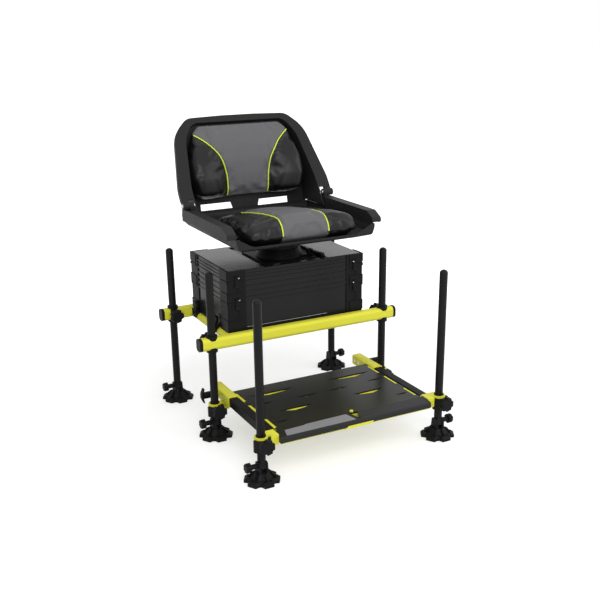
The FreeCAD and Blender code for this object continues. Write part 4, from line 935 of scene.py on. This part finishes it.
@dataclass
class Plates:
    """Thin plates that lie on the CAD's skins, and a painted highlight on the lower tray's front edge.

    PLATE_REAR and PLATE_FRONT are the plate's two long edges, as shares of the lip's half width
    and of its depth from the rear. The highlight line's rise, start and span are shares of the
    tray's front. The other lengths are metres.
    """

    library: Library
    PLATE_REAR: ClassVar[tuple[tuple[float, float], ...]] = (
        (-0.89, 0.20),
        (-0.64, 0.15),
        (-0.62, 0.08),
        (-0.35, 0.05),
        (-0.085, 0.03),
    )
    PLATE_FRONT: ClassVar[tuple[tuple[float, float], ...]] = (
        (-0.92, 0.86),
        (-0.70, 0.86),
        (-0.62, 0.86),
        (-0.35, 0.86),
        (-0.03, 0.86),
    )
    PLATE_STEPS: ClassVar[int] = 4
    PLATE_LIFT: ClassVar[float] = 0.0007
    PLATE_T: ClassVar[float] = 0.0006
    DROP_START: ClassVar[float] = 0.05
    # Place and size of the painted highlight line on the lower tray's front.
    HIGHLIGHT_RISE: ClassVar[float] = 0.12
    HIGHLIGHT_FROM: ClassVar[float] = 0.125
    HIGHLIGHT_SPAN: ClassVar[float] = 0.6
    HIGHLIGHT_STEPS: ClassVar[int] = 12
    HIGHLIGHT_R: ClassVar[float] = 0.0007
    RAY_START: ClassVar[float] = 0.1

    def build(self) -> list[bpy.types.Object]:
        """Make the grey plate on the lip and the painted highlight, a bright steel line, on the lower tray.

        Returns:
            The pieces.
        """
        return [self._lip_plate(), self._tray_painted_highlight()]

    def _lip_plate(self) -> bpy.types.Object:
        """Slanted grey plate on the left half of the footplate's lip.

        Returns:
            The plate.
        """
        low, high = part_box("footplate_lip")
        tree = tree_of(frame["nodes"]["footplate_lip"])
        half = (high.x - low.x) / 2
        depth = high.y - low.y
        points = []
        for step in range(self.PLATE_STEPS + 1):
            for (rear_x, rear_y), (front_x, front_y) in zip(self.PLATE_REAR, self.PLATE_FRONT):
                x = (rear_x + (front_x - rear_x) * step / self.PLATE_STEPS) * half
                y = high.y - (rear_y + (front_y - rear_y) * step / self.PLATE_STEPS) * depth
                hit = surface_point(tree, Vector((x, y, high.z + self.DROP_START)), Vector((0, 0, -1)))
                points.append((hit or Vector((x, y, high.z))) + Vector((0, 0, self.PLATE_LIFT)))
        wide = len(self.PLATE_REAR)
        faces = [(r * wide + c, (r + 1) * wide + c, (r + 1) * wide + c + 1, r * wide + c + 1)
                 for r in range(self.PLATE_STEPS) for c in range(wide - 1)]
        mesh = bpy.data.meshes.new("lip_plate")
        mesh.from_pydata(points, [], faces)
        mesh.materials.append(self.library.get(PLATE))
        plate = mesh_object("lip_plate", mesh)
        thick = plate.modifiers.new("thick", "SOLIDIFY")
        thick.thickness = self.PLATE_T
        thick.offset = -1
        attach(plate, "footplate")
        return plate

    def _tray_painted_highlight(self) -> bpy.types.Object:
        """Painted highlight: a thin bright steel line along the lower tray's front edge.

        Returns:
            The line.
        """
        low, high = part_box("lower_tray")
        tree = tree_of(frame["nodes"]["lower_tray"])
        height = low.z + self.HIGHLIGHT_RISE * (high.z - low.z)
        run = []
        for step in range(self.HIGHLIGHT_STEPS + 1):
            x = low.x + (high.x - low.x) * (self.HIGHLIGHT_FROM + self.HIGHLIGHT_SPAN * step / self.HIGHLIGHT_STEPS)
            hit = surface_point(tree, Vector((x, low.y - self.RAY_START, height)), Vector((0, 1, 0)))
            if hit is not None:
                run.append(hit)
        # A bright steel rod paints the highlight that the tray's front edge shows.
        pattern = piping_pattern(self.library.get(STEEL))
        line = pattern.bake(polyline("tray_painted_highlight", [run]), {"Radius": self.HIGHLIGHT_R})
        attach(line, "box")
        return line


@dataclass(frozen=True)
class Lamp:
    """One square soft light aimed at the seat box, in metres and watts."""

    name: str
    place: tuple[float, float, float]
    size: float
    power: float


@dataclass(frozen=True)
class Studio:
    """Camera, lights and floor.

    The floor glows from GLOW_NEAR to GLOW_FAR over GLOW_FROM to GLOW_TO metres, for seen rays
    only. SOFT_LIGHT is the world's light on the object, and WHITE what the camera sees of it.
    """

    eye: tuple[float, float, float] = (-1.2548, -2.4732, 1.2464)
    turn: tuple[float, float, float] = (70.76, 0.586, -27.885)
    lens: float = 53.5
    shift: tuple[float, float] = (-0.0111, 0.0565)
    LAMPS: ClassVar[tuple[Lamp, ...]] = (
        Lamp("key", (-0.9, -2.6, 2.2), 2.2, 62),
        Lamp("fill", (2.4, -1.6, 1.8), 2.4, 34),
        Lamp("top", (0.2, 0.4, 3.0), 2.2, 16),
    )
    AIM: ClassVar[tuple[float, float, float]] = (0, 0, 0.45)
    FLOOR_REACH: ClassVar[float] = 30.0
    FLOOR_DROP: ClassVar[float] = 0.0005
    FLOOR_TONE: ClassVar[float] = 0.6
    FLOOR_ROUGH: ClassVar[float] = 0.9
    GLOW_FROM: ClassVar[float] = 0.5
    GLOW_TO: ClassVar[float] = 1.6
    GLOW_NEAR: ClassVar[float] = 0.5
    GLOW_FAR: ClassVar[float] = 1.0
    SOFT_LIGHT: ClassVar[float] = 0.55
    WHITE: ClassVar[float] = 1.0

    def build(self) -> None:
        """Place the camera at the photograph's angle and light a pale room."""
        scene = bpy.context.scene
        scene.view_settings.view_transform = "Standard"
        camera = bpy.data.cameras.new("camera")
        camera.lens = self.lens
        camera.shift_x, camera.shift_y = self.shift
        eye = bpy.data.objects.new("camera", camera)
        eye.location = self.eye
        eye.rotation_euler = [math.radians(a) for a in self.turn]
        scene.collection.objects.link(eye)
        scene.camera = eye
        self._floor()
        self._world(scene)
        for lamp in self.LAMPS:
            self._light(lamp)

    def _light(self, lamp: Lamp) -> None:
        """Hang one lamp.

        Args:
            lamp: Its name, place, side and power.
        """
        light = bpy.data.lights.new(lamp.name, "AREA")
        light.shape = "SQUARE"
        light.size = lamp.size
        light.energy = lamp.power
        obj = bpy.data.objects.new(lamp.name, light)
        obj.location = lamp.place
        aim = Vector(self.AIM) - Vector(lamp.place)
        obj.rotation_euler = aim.to_track_quat("-Z", "Y").to_euler()
        bpy.context.scene.collection.objects.link(obj)

    def _floor(self) -> None:
        """Add a broad pale floor."""
        mesh = bpy.data.meshes.new("floor")
        reach = self.FLOOR_REACH
        mesh.from_pydata([(-reach, -reach, 0), (reach, -reach, 0), (reach, reach, 0), (-reach, reach, 0)], [],
                         [(0, 1, 2, 3)])
        floor = mesh_object("floor", mesh)
        floor.location.z = -self.FLOOR_DROP
        material = bpy.data.materials.new("floor")
        material.use_nodes = True
        tree = material.node_tree
        shader = tree.nodes["Principled BSDF"]
        shader.inputs["Base Color"].default_value = (*[self.FLOOR_TONE] * 3, 1)
        shader.inputs["Roughness"].default_value = self.FLOOR_ROUGH
        shader.inputs["Specular IOR Level"].default_value = 0.0
        shader.inputs["Emission Color"].default_value = (1, 1, 1, 1)
        coords = tree.nodes.new("ShaderNodeTexCoord")
        length = tree.nodes.new("ShaderNodeVectorMath")
        length.operation = "LENGTH"
        tree.links.new(coords.outputs["Object"], length.inputs[0])
        spread = tree.nodes.new("ShaderNodeMapRange")
        spread.interpolation_type = "SMOOTHSTEP"
        spread.inputs["From Min"].default_value = self.GLOW_FROM
        spread.inputs["From Max"].default_value = self.GLOW_TO
        spread.inputs["To Min"].default_value = self.GLOW_NEAR
        spread.inputs["To Max"].default_value = self.GLOW_FAR
        tree.links.new(length.outputs["Value"], spread.inputs["Value"])
        seen = tree.nodes.new("ShaderNodeMath")
        seen.operation = "MULTIPLY"
        tree.links.new(spread.outputs["Result"], seen.inputs[0])
        tree.links.new(self._seen(tree), seen.inputs[1])
        tree.links.new(seen.outputs[0], shader.inputs["Emission Strength"])
        mesh.materials.append(material)

    def _world(self, scene: bpy.types.Scene) -> None:
        """Pure white to the camera, soft grey light to the object.

        Args:
            scene: The scene.
        """
        world = bpy.data.worlds.new("studio")
        world.use_nodes = True
        tree = world.node_tree
        tree.nodes.clear()
        out = tree.nodes.new("ShaderNodeOutputWorld")
        mix = tree.nodes.new("ShaderNodeMixShader")
        soft = tree.nodes.new("ShaderNodeBackground")
        soft.inputs["Color"].default_value = (1, 1, 1, 1)
        soft.inputs["Strength"].default_value = self.SOFT_LIGHT
        white = tree.nodes.new("ShaderNodeBackground")
        white.inputs["Color"].default_value = (1, 1, 1, 1)
        white.inputs["Strength"].default_value = self.WHITE
        tree.links.new(self._seen(tree), mix.inputs[0])
        tree.links.new(soft.outputs[0], mix.inputs[1])
        tree.links.new(white.outputs[0], mix.inputs[2])
        tree.links.new(mix.outputs[0], out.inputs["Surface"])
        scene.world = world

    def _seen(self, tree: bpy.types.NodeTree) -> bpy.types.NodeSocket:
        """Factor of rays that show the background: camera, glossy and transmission rays.

        Args:
            tree: The nodes to add it to.

        Returns:
            Its socket, 1 for those rays and 0 for others.
        """
        path = tree.nodes.new("ShaderNodeLightPath")
        sharp = tree.nodes.new("ShaderNodeMath")
        sharp.operation = "MAXIMUM"
        tree.links.new(path.outputs["Is Glossy Ray"], sharp.inputs[0])
        tree.links.new(path.outputs["Is Transmission Ray"], sharp.inputs[1])
        both = tree.nodes.new("ShaderNodeMath")
        both.operation = "MAXIMUM"
        tree.links.new(path.outputs["Is Camera Ray"], both.inputs[0])
        tree.links.new(sharp.outputs[0], both.inputs[1])
        return both.outputs[0]


def paint_nodes(library: Library) -> None:
    """Give every CAD node that shows its finish.

    Args:
        library: The finishes.
    """
    for entry in frame["record"]["subparts"]:
        node = entry["node"]
        finish = NODE_FINISH.get(node, SLOT_FINISH[entry["material_slot"]])
        mesh = frame["nodes"][node].data
        if mesh.materials:
            for index in range(len(mesh.materials)):
                mesh.materials[index] = library.get(finish)
        else:
            mesh.materials.append(library.get(finish))


def main() -> None:
    """Build every assembly and report what was made."""
    logging.basicConfig(level=logging.INFO)
    library = Library()
    paint_nodes(library)
    pieces = SeatAssembly(library).build()
    pieces += Fasteners(library).build()
    pieces += Plates(library).build()
    Studio().build()
    LOG.info("made %d pieces", len(pieces))


if __name__ == "__main__":
    main()
